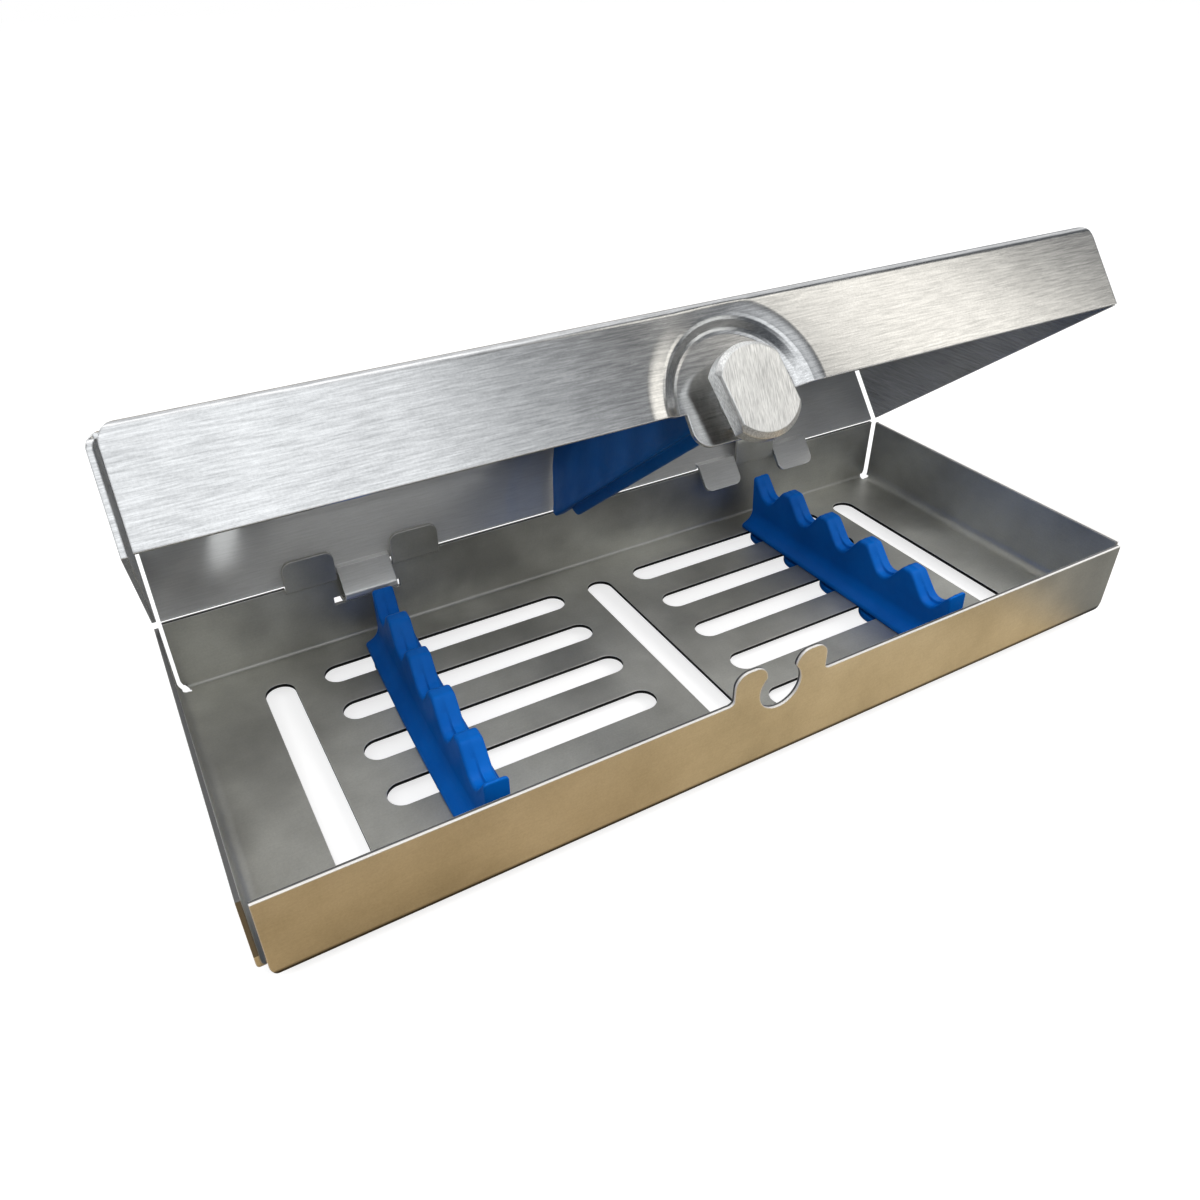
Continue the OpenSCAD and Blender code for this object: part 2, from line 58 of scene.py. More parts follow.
class Sky(Enum):
    """Soft bright panels that only steel shows: azimuth and elevation in degrees, then colour.

    Each direction has four angles: where the panel begins, is full, begins to fade and ends.
    """

    HIGH_LEFT = ((-70.0, -40.0, 25.0, 44.0), (14.0, 30.0, 86.0, 92.0), (1.18, 1.20, 1.21, 1.0))
    OVERHEAD = ((27.0, 47.0, 240.0, 262.0), (58.0, 70.0, 91.0, 95.0), (1.05, 1.05, 1.05, 1.0))
    LOW = ((18.0, 32.0, 50.0, 62.0), (-3.0, -1.0, 8.0, 13.0), (1.10, 1.10, 1.06, 1.0))
    WINDOW = ((49.0, 57.5, 64.0, 65.6), (8.0, 20.0, 52.0, 64.0), (1.72, 1.64, 1.48, 1.0))
    BEHIND = ((84.0, 102.0, 220.0, 240.0), (10.0, 22.0, 70.0, 88.0), (0.80, 0.80, 0.80, 1.0))
    SHELF = ((135.0, 150.0, 215.0, 235.0), (-6.0, -2.0, 8.0, 14.0), (0.38, 0.27, 0.13, 1.0))


# Shader helpers


class Sockets:
    """Small helper that adds and links nodes in one node tree."""

    column_width = 190

    def __init__(self, tree: bpy.types.NodeTree) -> None:
        """Keeps the tree and starts its layout at the left."""
        self.tree = tree
        self.column = 0

    def add(self, kind: str, **values: object) -> bpy.types.Node:
        """Adds a node and sets its properties and inputs.

        Args:
            kind: Blender's name of the node type.
            values: properties by name, or input values by socket name with underscores for spaces.

        Returns:
            The new node.
        """
        made = self.tree.nodes.new(kind)
        made.location = (self.column * self.column_width, 0)
        self.column += 1
        for key, value in values.items():
            if hasattr(made, key):
                setattr(made, key, value)
            else:
                made.inputs[key.replace("_", " ")].default_value = value
        return made

    def link(self, source: Socket, target: Socket) -> None:
        """Links one socket to another."""
        self.tree.links.new(source, target)

    def put(self, value: object, target: Socket) -> None:
        """Links a socket to an input, or writes a plain value into it.

        Args:
            value: socket or plain value.
            target: the input.
        """
        if isinstance(value, bpy.types.NodeSocket):
            self.link(value, target)
        else:
            target.default_value = value

    def math(self, operation: str, first: object, second: object = 0.0) -> Socket:
        """Adds a math node.

        Args:
            operation: Blender's name of the operation.
            first: socket or number for the first input.
            second: socket or number for the second input.

        Returns:
            The node's output socket.
        """
        made = self.add("ShaderNodeMath", operation=operation)
        self.put(first, made.inputs[0])
        self.put(second, made.inputs[1])
        return made.outputs[0]

    def times(self, first: object, *others: object) -> Socket:
        """Multiplies masks and numbers in order.

        Args:
            first: first factor.
            others: what it is multiplied by.

        Returns:
            The product's socket.
        """
        result = first
        for factor in others:
            result = self.math("MULTIPLY", result, factor)
        return result

    def without(self, mask: Socket) -> Socket:
        """What a mask leaves: one less the mask."""
        return self.math("SUBTRACT", 1.0, mask)

    def nearer(self, source: Socket, limit: float) -> Socket:
        """Mask of the places where a value is nearer to zero than a limit."""
        return self.math("LESS_THAN", self.math("ABSOLUTE", source), limit)

    def coordinate(self, kind: str) -> Socket:
        """Texture coordinate by its name, such as Object or Normal."""
        return self.add("ShaderNodeTexCoord").outputs[kind]

    def parts(self, vector: Socket) -> list[Socket]:
        """Splits a vector.

        Args:
            vector: socket of the vector.

        Returns:
            Sockets of its X, Y and Z.
        """
        made = self.add("ShaderNodeSeparateXYZ")
        self.link(vector, made.inputs[0])
        return list(made.outputs)

    def vector(self, operation: str, first: Socket, second: object = (0.0, 0.0, 0.0)) -> Socket:
        """Adds a vector math node.

        Args:
            operation: Blender's name of the operation.
            first: socket of the first vector.
            second: socket or vector for the second input.

        Returns:
            The number that a dot product or a length gives, or else the vector.
        """
        made = self.add("ShaderNodeVectorMath", operation=operation)
        self.link(first, made.inputs[0])
        self.put(second, made.inputs[1])
        return made.outputs["Value" if operation in ("DOT_PRODUCT", "LENGTH") else "Vector"]

    def ramp(self, source: Socket, low: float, high: float,
             out_low: float = 0.0, out_high: float = 1.0, smooth: bool = False) -> Socket:
        """Maps a range of values to another, held at its ends.

        Args:
            source: socket that carries the value.
            low: value that gives out_low.
            high: value that gives out_high.
            out_low: result at the low end.
            out_high: result at the high end.
            smooth: eases the ends.

        Returns:
            The mapped value's socket.
        """
        made = self.add("ShaderNodeMapRange")
        if smooth:
            made.interpolation_type = "SMOOTHSTEP"
        self.link(source, made.inputs[0])
        for place, value in enumerate((low, high, out_low, out_high), start=1):
            made.inputs[place].default_value = value
        return made.outputs[0]

    def span(self, source: Socket, edges: Sequence[float]) -> Socket:
        """Masks a range with soft ends.

        Args:
            source: socket that carries the value.
            edges: where the mask begins, is full, begins to fall and ends.

        Returns:
            Mask socket.
        """
        rise = self.ramp(source, edges[0], edges[1])
        return self.times(rise, self.ramp(source, edges[2], edges[3], 1.0, 0.0))

    def blend(self, amount: object, first: object, second: object, mode: str = "MIX") -> Socket:
        """Mixes two colours.

        Args:
            amount: socket or number, 0 for the first colour and 1 for the second.
            first: socket or colour.
            second: socket or colour.
            mode: Blender's blend mode.

        Returns:
            The mixed colour's socket.
        """
        made = self.add("ShaderNodeMix", data_type="RGBA", blend_type=mode)
        for place, value in ((0, amount), (6, first), (7, second)):
            self.put(value, made.inputs[place])
        return made.outputs[2]

    def noise(self, vector: Socket, seed: Socket | None, **values: float) -> Socket:
        """Adds a noise texture.

        Args:
            vector: socket of the place.
            seed: socket of the seed, or nothing for plain noise of three dimensions.
            values: input values by name.

        Returns:
            The noise's number.
        """
        size = "3D" if seed is None else "4D"
        made = self.add("ShaderNodeTexNoise", noise_dimensions=size, **values)
        self.link(vector, made.inputs["Vector"])
        if seed is not None:
            self.link(seed, made.inputs["W"])
        return made.outputs[0]


@dataclass
class EmptyGroup:
    """A shader group with named sockets, ready to be filled."""

    name: str
    takes: dict[str, float]
    gives: dict[str, str]

    def __post_init__(self) -> None:
        """Makes the group, its sockets and its input and output nodes."""
        self.tree = bpy.data.node_groups.new(self.name, "ShaderNodeTree")
        sockets = self.tree.interface
        for label, value in self.takes.items():
            made = sockets.new_socket(label, in_out="INPUT", socket_type="NodeSocketFloat")
            made.default_value = value
        for label, kind in self.gives.items():
            sockets.new_socket(label, in_out="OUTPUT", socket_type=kind)
        self.s = Sockets(self.tree)
        self.given = self.s.add("NodeGroupInput").outputs
        self.out = self.s.add("NodeGroupOutput").inputs


NUMBER = "NodeSocketFloat"
DIRECTION = "NodeSocketVector"
END_FACING = 0.8
STREAK_SPAN: Point = (0.3, 0.7)
CLOUD_SPAN: Point = (0.32, 0.68)
SPECKLE_SCALE = 2600.0
BEVEL_SAMPLES = 6
EDGE_SPAN: Point = (0.05, 1.0)


def rolled_grain() -> bpy.types.NodeTree:
    """Builds the fine lengthwise grain of rolled and brushed sheet.

    Returns:
        Group with inputs Length, Width and Seed and outputs Height and Tone.
    """
    group = EmptyGroup("rolled_grain", {"Length": 4.0, "Width": 0.12, "Seed": 0.0},
                       {"Height": NUMBER, "Tone": NUMBER})
    s, given = group.s, group.given
    across = s.parts(s.coordinate("Normal"))[0]
    on_end = s.math("GREATER_THAN", s.math("ABSOLUTE", across), END_FACING)
    x, y, z = s.parts(s.coordinate("Object"))
    fine = s.math("DIVIDE", PER_METRE, given["Width"])
    long = s.math("DIVIDE", PER_METRE, given["Length"])
    swap = s.times(on_end, s.math("SUBTRACT", fine, long))
    stretched = s.add("ShaderNodeCombineXYZ")
    s.link(s.times(x, s.math("ADD", long, swap)), stretched.inputs[0])
    s.link(s.times(y, s.math("SUBTRACT", fine, swap)), stretched.inputs[1])
    s.link(s.times(z, fine), stretched.inputs[2])
    streak = s.noise(stretched.outputs[0], given["Seed"], Scale=1.0, Detail=3.0, Roughness=0.6)
    s.link(streak, group.out["Height"])
    s.link(s.ramp(streak, *STREAK_SPAN), group.out["Tone"])
    return group.tree


def cloudy_wear() -> bpy.types.NodeTree:
    """Builds soft blotches and fine speckle, as handling and washing leave them.

    Returns:
        Group with inputs Size and Seed and outputs Cloud and Speckle.
    """
    group = EmptyGroup("cloudy_wear", {"Size": 14.0, "Seed": 0.0},
                       {"Cloud": NUMBER, "Speckle": NUMBER})
    s, given = group.s, group.given
    place = s.coordinate("Object")
    cloud = s.noise(place, given["Seed"], Detail=4.0, Roughness=0.55)
    scale = s.math("DIVIDE", PER_METRE, given["Size"])
    s.link(scale, cloud.node.inputs["Scale"])
    speck = s.noise(place, given["Seed"], Scale=SPECKLE_SCALE, Detail=2.0, Roughness=0.7)
    s.link(s.ramp(cloud, *CLOUD_SPAN), group.out["Cloud"])
    s.link(s.ramp(speck, *STREAK_SPAN), group.out["Speckle"])
    return group.tree


def eased_edge() -> bpy.types.NodeTree:
    """Builds the slightly rounded edges of a cut sheet or a moulding, and a mask along them for a
    painted highlight.

    Returns:
        Group with inputs Radius and Gain and outputs Mask and Normal.
    """
    group = EmptyGroup("eased_edge", {"Radius": 0.2, "Gain": 6.0},
                       {"Mask": NUMBER, "Normal": DIRECTION})
    s, given = group.s, group.given
    rounded = s.add("ShaderNodeBevel", samples=BEVEL_SAMPLES)
    s.link(s.times(given["Radius"], MM), rounded.inputs["Radius"])
    plain = s.add("ShaderNodeNewGeometry").outputs["Normal"]
    turned = s.without(s.vector("DOT_PRODUCT", rounded.outputs[0], plain))
    s.link(s.ramp(s.times(turned, given["Gain"]), *EDGE_SPAN), group.out["Mask"])
    s.link(rounded.outputs[0], group.out["Normal"])
    return group.tree


@dataclass(frozen=True)
class Effects:
    """The shader groups that several finishes share."""

    grain: bpy.types.NodeTree
    wear: bpy.types.NodeTree
    edge: bpy.types.NodeTree

    @staticmethod
    def built() -> "Effects":
        """Builds each group once."""
        return Effects(rolled_grain(), cloudy_wear(), eased_edge())

    def place(self, s: Sockets, tree: bpy.types.NodeTree, **values: float) -> bpy.types.Node:
        """Places a group in a material.

        Args:
            s: helper of the material's tree.
            tree: the group.
            values: its input values by name.

        Returns:
            The group's node.
        """
        made = s.add("ShaderNodeGroup")
        made.node_tree = tree
        for key, value in values.items():
            made.inputs[key].default_value = value
        return made


def empty_material(name: str) -> tuple[bpy.types.Material, Sockets, bpy.types.Node]:
    """Makes a material with one Principled shader.

    Args:
        name: name of the material.

    Returns:
        The material, its node helper and its shader node.
    """
    made = bpy.data.materials.new(name)
    made.use_nodes = True
    made.node_tree.nodes.clear()
    s = Sockets(made.node_tree)
    shader = s.add("ShaderNodeBsdfPrincipled")
    out = s.add("ShaderNodeOutputMaterial")
    s.link(shader.outputs[0], out.inputs[0])
    return made, s, shader


def add_relief(s: Sockets, shader: bpy.types.Node, height: Socket, edge: bpy.types.Node,
               depth: float) -> None:
    """Gives a shader its fine relief on top of its eased edges.

    Args:
        s: helper of the material's tree.
        shader: the material's shader.
        height: socket of the relief's height.
        edge: node of the eased edges.
        depth: depth of the relief in millimetres.
    """
    bump = s.add("ShaderNodeBump", Strength=1.0, Distance=depth * MM)
    s.link(height, bump.inputs["Height"])
    s.link(edge.outputs["Normal"], bump.inputs["Normal"])
    s.link(bump.outputs[0], shader.inputs["Normal"])


@dataclass(frozen=True)
class BaseMarks:
    """Painted shade and highlights on the cut rims, painted shade in the slots and on the lower bend,
    and stains of the base, by their place, in metres.
    """

    wall_half: Point = (0.090, 0.0363)
    inner_half: Point = (0.0894, 0.0357)
    slots_half: Point = (0.080, 0.033)
    floor_top: float = 0.0023
    upright: float = 0.3
    walls_from: float = 0.006
    cut_span: Point = (-0.00076, -0.00004)
    glint_span: Point = (-0.00048, -0.00036)
    back_margin: float = 0.002
    left_margin: float = 0.001
    bend_span: Point = (0.0029, 0.0035)
    rim_shade_colour: Colour = (0.22, 0.22, 0.22, 1.0)
    shade_colour: Colour = (0.03, 0.03, 0.03, 1.0)
    stain_colour: Colour = (0.12, 0.115, 0.105, 1.0)
    stain_size: float = 38.0
    stain_seed: float = 8.0
    stain_span: Point = (0.15, 0.75)
    stain_share: Point = (0.50, 0.04)
    satin_share: float = 0.17

    def inside(self, s: Sockets) -> Socket:
        """Masks the inner faces of the base, which washing has left satin."""
        x, y, _ = s.parts(s.coordinate("Object"))
        return s.times(s.nearer(x, self.inner_half[0]), s.nearer(y, self.inner_half[1]))

    def slot_cuts(self, s: Sockets) -> Socket:
        """Masks the cut faces in the slots of the floor, which lie in deep shade.

        Args:
            s: helper of the material's tree.

        Returns:
            Mask socket.
        """
        x, y, z = s.parts(s.coordinate("Object"))
        upright = s.nearer(s.parts(s.coordinate("Normal"))[2], self.upright)
        low = s.math("LESS_THAN", z, self.floor_top)
        return s.times(upright, low,
                       s.nearer(x, self.slots_half[0]), s.nearer(y, self.slots_half[1]))

    def rim_cuts(self, s: Sockets) -> tuple[Socket, Socket]:
        """Masks the cut faces of the walls: painted shade on them but for a painted highlight along
        their outer corner on the front and right walls.

        Args:
            s: helper of the material's tree.

        Returns:
            Mask sockets of the painted shade and of the painted highlight.
        """
        x, y, z = s.parts(s.coordinate("Object"))
        across = s.math("SUBTRACT", s.math("ABSOLUTE", y), self.wall_half[1])
        along = s.math("SUBTRACT", s.math("ABSOLUTE", x), self.wall_half[0])
        deep = s.math("MAXIMUM", across, along)
        cut = s.times(s.math("GREATER_THAN", z, self.walls_from),
                      s.math("GREATER_THAN", deep, self.cut_span[0]),
                      s.math("LESS_THAN", deep, self.cut_span[1]))
        # Painted highlight only on the rims of the front and right walls.
        seen = s.times(s.math("LESS_THAN", y, self.wall_half[1] - self.back_margin),
                       s.math("GREATER_THAN", x, self.left_margin - self.wall_half[0]))
        painted_glint = s.times(cut, seen, s.ramp(deep, *self.glint_span))
        return s.math("SUBTRACT", cut, painted_glint), painted_glint

    def shade_and_light_rims(self, s: Sockets, body: Socket, painted_glint: Socket) -> tuple[Socket, Socket]:
        """Paints shade on the cut rims and a highlight along their outer corner.

        Args:
            s: helper of the material's tree.
            body: colour so far.
            painted_glint: mask of the painted edge highlight so far.

        Returns:
            Sockets of the new colour and of the new mask of the painted edge highlight.
        """
        rim_shade, line = self.rim_cuts(s)
        # Painted shade: the cut rims darkened.
        body = s.blend(rim_shade, body, self.rim_shade_colour)
        return body, s.times(s.math("MAXIMUM", painted_glint, line), s.without(rim_shade))

    def shade_and_stain(self, s: Sockets, effects: Effects, seed: float, body: Socket,
                bare: Socket) -> tuple[Socket, Socket]:
        """Paints shade on the slots' cut faces and on the lower bend, and stains the inside.

        Args:
            s: helper of the material's tree.
            effects: the shared shader groups.
            seed: seed of the sheet.
            body: colour so far.
            bare: share of the surface that isn't metallic, so far.

        Returns:
            Sockets of the new colour and of the new share.
        """
        inside = self.inside(s)
        height = s.parts(s.coordinate("Object"))[2]
        # Painted shade: the lower outer bend darkened where the cassette meets the floor.
        bend = s.times(s.ramp(height, *self.bend_span, 1.0, 0.0), s.without(inside))
        body = s.blend(s.math("MAXIMUM", self.slot_cuts(s), bend), body, self.shade_colour)
        stain = effects.place(s, effects.wear, Size=self.stain_size, Seed=seed + self.stain_seed)
        share = s.ramp(stain.outputs["Cloud"], *self.stain_span, *self.stain_share)
        body = s.blend(s.times(inside, share), body, self.stain_colour)
        return body, s.math("MAXIMUM", bare, s.times(inside, self.satin_share))


@dataclass(frozen=True)
class Dish:
    """The dish pressed into the lid round the knob, and the lid's inside by it, in metres."""

    centre: Vector
    facing: Vector
    inner: float = 0.0130
    outer: float = 0.0167
    depth: float = 0.00035
    roof: float = 0.0159
    half_length: float = 0.0894
    inside_span: Point = (-0.024, -0.012)
    away_span: Point = (-0.3, 0.1)
    front_from: float = 0.2
    front_full: float = 0.7
    bare_share: Point = (0.18, 0.45)
    sheen_share: float = 0.7
    sheen_colour: Colour = (0.70, 0.70, 0.68, 1.0)

    def offset(self, s: Sockets) -> Socket:
        """How far a place is from the dish's centre."""
        return s.vector("SUBTRACT", s.coordinate("Object"), self.centre)

    def toward(self, s: Sockets) -> Socket:
        """How much a face looks the way the dish does, from -1 to 1."""
        return s.vector("DOT_PRODUCT", s.coordinate("Normal"), self.facing)

    def inside(self, s: Sockets, offset: Socket) -> Socket:
        """Masks the lid's inside, more the farther it lies behind the dish.

        Args:
            s: helper of the material's tree.
            offset: how far the place is from the dish's centre.

        Returns:
            Mask socket.
        """
        up = self.facing.cross(Vector((1.0, 0.0, 0.0)))
        under = s.math("LESS_THAN", s.vector("DOT_PRODUCT", offset, up), self.roof)
        within = s.times(under, s.nearer(s.parts(offset)[0], self.half_length))
        ahead = s.vector("DOT_PRODUCT", offset, self.facing)
        return s.times(within, s.ramp(ahead, *self.inside_span, 1.0, 0.0))

    def add_painted_sheen(self, s: Sockets, offset: Socket, body: Socket,
               bare: Socket) -> tuple[Socket, Socket]:
        """Paints the inner faces that look to the front a plain pale colour and makes them reflect
        less, a painted sheen in place of their bright reflection.

        Args:
            s: helper of the material's tree.
            offset: how far the place is from the dish's centre.
            body: colour so far.
            bare: share of the surface that isn't metallic, so far.

        Returns:
            Sockets of the new colour and of the new share.
        """
        toward, inside = self.toward(s), self.inside(s, offset)
        sheen = s.times(s.math("GREATER_THAN", toward, self.front_from),
                       s.times(inside, self.sheen_share))
        # Painted sheen: a pale colour on the inner faces that look to the front.
        body = s.blend(sheen, body, self.sheen_colour)
        share = s.ramp(toward, self.front_from, self.front_full, *self.bare_share)
        return body, s.math("MAXIMUM", bare, s.times(inside, share))

    def relief(self, s: Sockets, offset: Socket, unit: float) -> Socket:
        """Height of the sheet that rises round the dish.

        Args:
            s: helper of the material's tree.
            offset: how far the place is from the dish's centre.
            unit: depth in metres that a height of 1 stands for.

        Returns:
            The height's socket.
        """
        radius = s.vector("LENGTH", s.vector("CROSS_PRODUCT", offset, self.facing))
        return s.ramp(radius, self.inner, self.outer, 0.0, self.depth / unit, smooth=True)


@dataclass(frozen=True)
class SheetFinish:
    """Brushed stainless sheet, satin where it doesn't face the brushed way."""

    name: str
    dark: Colour
    light: Colour
    # Colour of the painted highlight along the edges.
    edge: Colour
    rough_low: float
    rough_high: float
    grain_length: float
    grain_width: float
    grain_depth: float
    seed: float
    satin: float = 0.0
    cloud_share: float = 0.2
    speckle_share: float = 0.2
    cloud_size: float = 22.0
    cloud_seed: float = 3.0
    cloud_scatter: float = 0.6
    scatter_span: Point = (0.1, 0.9)
    edge_radius: float = 0.3
    edge_gain: float = 5.0
    glint_bare: float = 0.55

    def material(self, effects: Effects, marks: BaseMarks | None = None,
                 dish: Dish | None = None) -> bpy.types.Material:
        """Builds the material.

        Args:
            effects: the shared shader groups.
            marks: the painted shade, painted highlights and stains of the base, where the sheet is
                the base's.
            dish: the pressed dish, where the sheet has one.

        Returns:
            The finished material.
        """
        made, s, shader = empty_material(self.name)
        shader.inputs["Metallic"].default_value = 1.0
        grain = effects.place(s, effects.grain, Length=self.grain_length,
                              Width=self.grain_width, Seed=self.seed)
        wear = effects.place(s, effects.wear, Size=self.cloud_size,
                             Seed=self.seed + self.cloud_seed)
        edge = effects.place(s, effects.edge, Radius=self.edge_radius, Gain=self.edge_gain)
        streak, cloud = grain.outputs["Tone"], wear.outputs["Cloud"]
        streak_share = 1.0 - self.speckle_share - self.cloud_share
        tone = s.math("ADD", s.times(streak, streak_share), s.times(cloud, self.cloud_share))
        tone = s.math("ADD", tone, s.times(wear.outputs["Speckle"], self.speckle_share))
        body = s.blend(tone, self.dark, self.light)
        painted_glint = edge.outputs["Mask"]
        if marks is not None:
            body, painted_glint = marks.shade_and_light_rims(s, body, painted_glint)
        # Painted highlight: a pale colour along the eased edges, with less metal there so that the
        # lamps light them.
        body = s.blend(painted_glint, body, self.edge)
        bare = s.times(painted_glint, self.glint_bare)
        if marks is not None:
            body, bare = marks.shade_and_stain(s, effects, self.seed, body, bare)
        scatter = s.math("ADD", s.times(cloud, self.cloud_scatter),
                         s.times(streak, 1.0 - self.cloud_scatter))
        rough = s.ramp(scatter, *self.scatter_span, self.rough_low, self.rough_high)
        height = grain.outputs["Height"]
        if dish is not None:
            offset = dish.offset(s)
            away = s.ramp(dish.toward(s), *dish.away_span, self.satin, 0.0)
            rough = s.math("ADD", rough, away)
            body, bare = dish.add_painted_sheen(s, offset, body, bare)
            height = s.math("ADD", height, dish.relief(s, offset, self.grain_depth * MM))
        s.link(body, shader.inputs["Base Color"])
        s.link(s.without(bare), shader.inputs["Metallic"])
        s.link(rough, shader.inputs["Roughness"])
        add_relief(s, shader, height, edge, self.grain_depth)
        return made


@dataclass(frozen=True)
class TurnedFinish:
    """Turned steel with a brushed face, sizes in millimetres."""

    name: str
    dark: Colour
    light: Colour
    brush_angle: float
    roughness: float
    seed: float
    # Colour of the painted highlight along the edges.
    edge: Colour = (0.86, 0.86, 0.85, 1.0)
    face_span: Point = (0.5, 0.95)
    metallic: Point = (0.95, 0.72)
    streak_length: float = 2.2
    streak_width: float = 0.2
    streak_span: Point = (0.36, 0.64)
    streak_share: float = 0.7
    cloud_size: float = 5.0
    edge_radius: float = 0.25
    edge_gain: float = 5.0
    rough_more: float = 0.06
    rough_less: float = 0.05
    relief: float = 0.006

    def material(self, effects: Effects, axis: Vector, along: Vector) -> bpy.types.Material:
        """Builds the material with its grain laid across the knob's face.

        Args:
            effects: the shared shader groups.
            axis: direction of the spindle.
            along: direction of the brushing.

        Returns:
            The finished material.
        """
        made, s, shader = empty_material(self.name)
        ahead = s.vector("DOT_PRODUCT", s.coordinate("Normal"), axis)
        s.link(s.ramp(ahead, *self.face_span, *self.metallic), shader.inputs["Metallic"])
        place = s.coordinate("Object")
        side = axis.cross(along).normalized()
        stretched = s.add("ShaderNodeCombineXYZ")
        sizes = (self.streak_length, self.streak_width, self.streak_width)
        for slot, (way, size) in enumerate(zip((along, side, axis), sizes)):
            reach = s.vector("DOT_PRODUCT", place, way)
            s.link(s.times(reach, PER_METRE / size), stretched.inputs[slot])
        streak = s.noise(stretched.outputs[0], None, Scale=1.0, Detail=3.0, Roughness=0.6)
        wear = effects.place(s, effects.wear, Size=self.cloud_size, Seed=self.seed)
        edge = effects.place(s, effects.edge, Radius=self.edge_radius, Gain=self.edge_gain)
        tone = s.math("ADD", s.times(s.ramp(streak, *self.streak_span), self.streak_share),
                      s.times(wear.outputs["Cloud"], 1.0 - self.streak_share))
        body = s.blend(tone, self.dark, self.light)
        # Painted highlight: a pale colour along the eased edges.
        s.link(s.blend(edge.outputs["Mask"], body, self.edge), shader.inputs["Base Color"])
        rough = s.ramp(tone, 0.0, 1.0,
                       self.roughness + self.rough_more, self.roughness - self.rough_less)
        s.link(rough, shader.inputs["Roughness"])
        add_relief(s, shader, streak, edge, self.relief)
        return made


@dataclass(frozen=True)
class SiliconeFinish:
    """Moulded silicone: satin, faintly mottled, with a painted highlight along its edges; in
    millimetres.
    """

    name: str
    deep: Colour
    pale: Colour
    # Colour of the painted highlight along the edges.
    painted_glint: Colour
    roughness: float
    seed: float
    gloss: float = 0.14
    cloud_size: float = 9.0
    edge_radius: float = 0.45
    edge_gain: float = 3.0
    edge_share: float = 0.8
    rough_swing: float = 0.07
    relief: float = 0.012

    def material(self, effects: Effects) -> bpy.types.Material:
        """Builds the material.

        Args:
            effects: the shared shader groups.

        Returns:
            The finished material.
        """
        made, s, shader = empty_material(self.name)
        shader.inputs["Specular IOR Level"].default_value = self.gloss
        wear = effects.place(s, effects.wear, Size=self.cloud_size, Seed=self.seed)
        edge = effects.place(s, effects.edge, Radius=self.edge_radius, Gain=self.edge_gain)
        cloud = wear.outputs["Cloud"]
        body = s.blend(cloud, self.deep, self.pale)
        # Painted highlight: a paler blue along the eased edges.
        edge_glint = s.times(edge.outputs["Mask"], self.edge_share)
        s.link(s.blend(edge_glint, body, self.painted_glint), shader.inputs["Base Color"])
        rough = s.ramp(cloud, 0.0, 1.0,
                       self.roughness + self.rough_swing, self.roughness - self.rough_swing)
        s.link(rough, shader.inputs["Roughness"])
        add_relief(s, shader, wear.outputs["Speckle"], edge, self.relief)
        return made


# Mesh helpers


def arc(centre: Point, radius: float, start: float, end: float, steps: int) -> list[Point]:
    """Points on an arc, both ends included.

    Args:
        centre: centre of the arc.
        radius: its radius.
        start: first angle in degrees.
        end: last angle in degrees.
        steps: number of steps between them.

    Returns:
        The points in order.
    """
    turns = (math.radians(start + (end - start) * i / steps) for i in range(steps + 1))
    return [(centre[0] + radius * math.cos(a), centre[1] + radius * math.sin(a)) for a in turns]


def circle_height(radius: float, away: float) -> float:
    """Height of a circle's edge above its centre line at a distance from its middle."""
    return math.sqrt(max(0.0, radius**2 - away**2))


def loft(rings: Sequence[Ring]) -> bmesh.types.BMesh:
    """Skins a row of closed rings with the same number of points and caps both ends.

    Args:
        rings: the rings in order.

    Returns:
        The closed surface.
    """
    made = bmesh.new()
    rows = [[made.verts.new(p) for p in ring] for ring in rings]
    count = len(rows[0])
    for low, high in zip(rows, rows[1:]):
        for i in range(count):
            made.faces.new((low[i], low[(i + 1) % count], high[(i + 1) % count], high[i]))
    made.faces.new(list(reversed(rows[0])))
    made.faces.new(rows[-1])
    bmesh.ops.recalc_face_normals(made, faces=made.faces)
    return made


def lathe(profile: Sequence[Point], steps: int = 56) -> bmesh.types.BMesh:
    """Turns a profile of radius and height about the Z axis.

    Args:
        profile: points from the axis to the axis.
        steps: number of steps round the axis.

    Returns:
        The closed surface.
    """
    made = bmesh.new()
    turns = [2 * math.pi * i / steps for i in range(steps)]
    rows = []
    for radius, height in profile:
        if radius < TINY:
            rows.append([made.verts.new((0.0, 0.0, height))])
        else:
            ring = [(radius * math.cos(a), radius * math.sin(a), height) for a in turns]
            rows.append([made.verts.new(p) for p in ring])
    for low, high in zip(rows, rows[1:]):
        for i in range(steps):
            j = (i + 1) % steps
            corners = [low[i % len(low)], low[j % len(low)],
                       high[j % len(high)], high[i % len(high)]]
            corners = [c for n, c in enumerate(corners) if c not in corners[:n]]
            if len(corners) > 2:
                made.faces.new(corners)
    bmesh.ops.recalc_face_normals(made, faces=made.faces)
    return made


@dataclass(frozen=True)
class EasedEdges:
    """How the edges of a moulding are eased: width in millimetres, least angle in degrees."""

    width: float
    segments: int = 3
    least_angle: float = 50.0

    def apply(self, made: bpy.types.Object) -> None:
        """Puts the easing on an object.

        Args:
            made: the object.
        """
        ease = made.modifiers.new("eased", "BEVEL")
        ease.width = self.width * MM
        ease.segments = self.segments
        ease.limit_method = "ANGLE"
        ease.angle_limit = math.radians(self.least_angle)
        ease.harden_normals = False


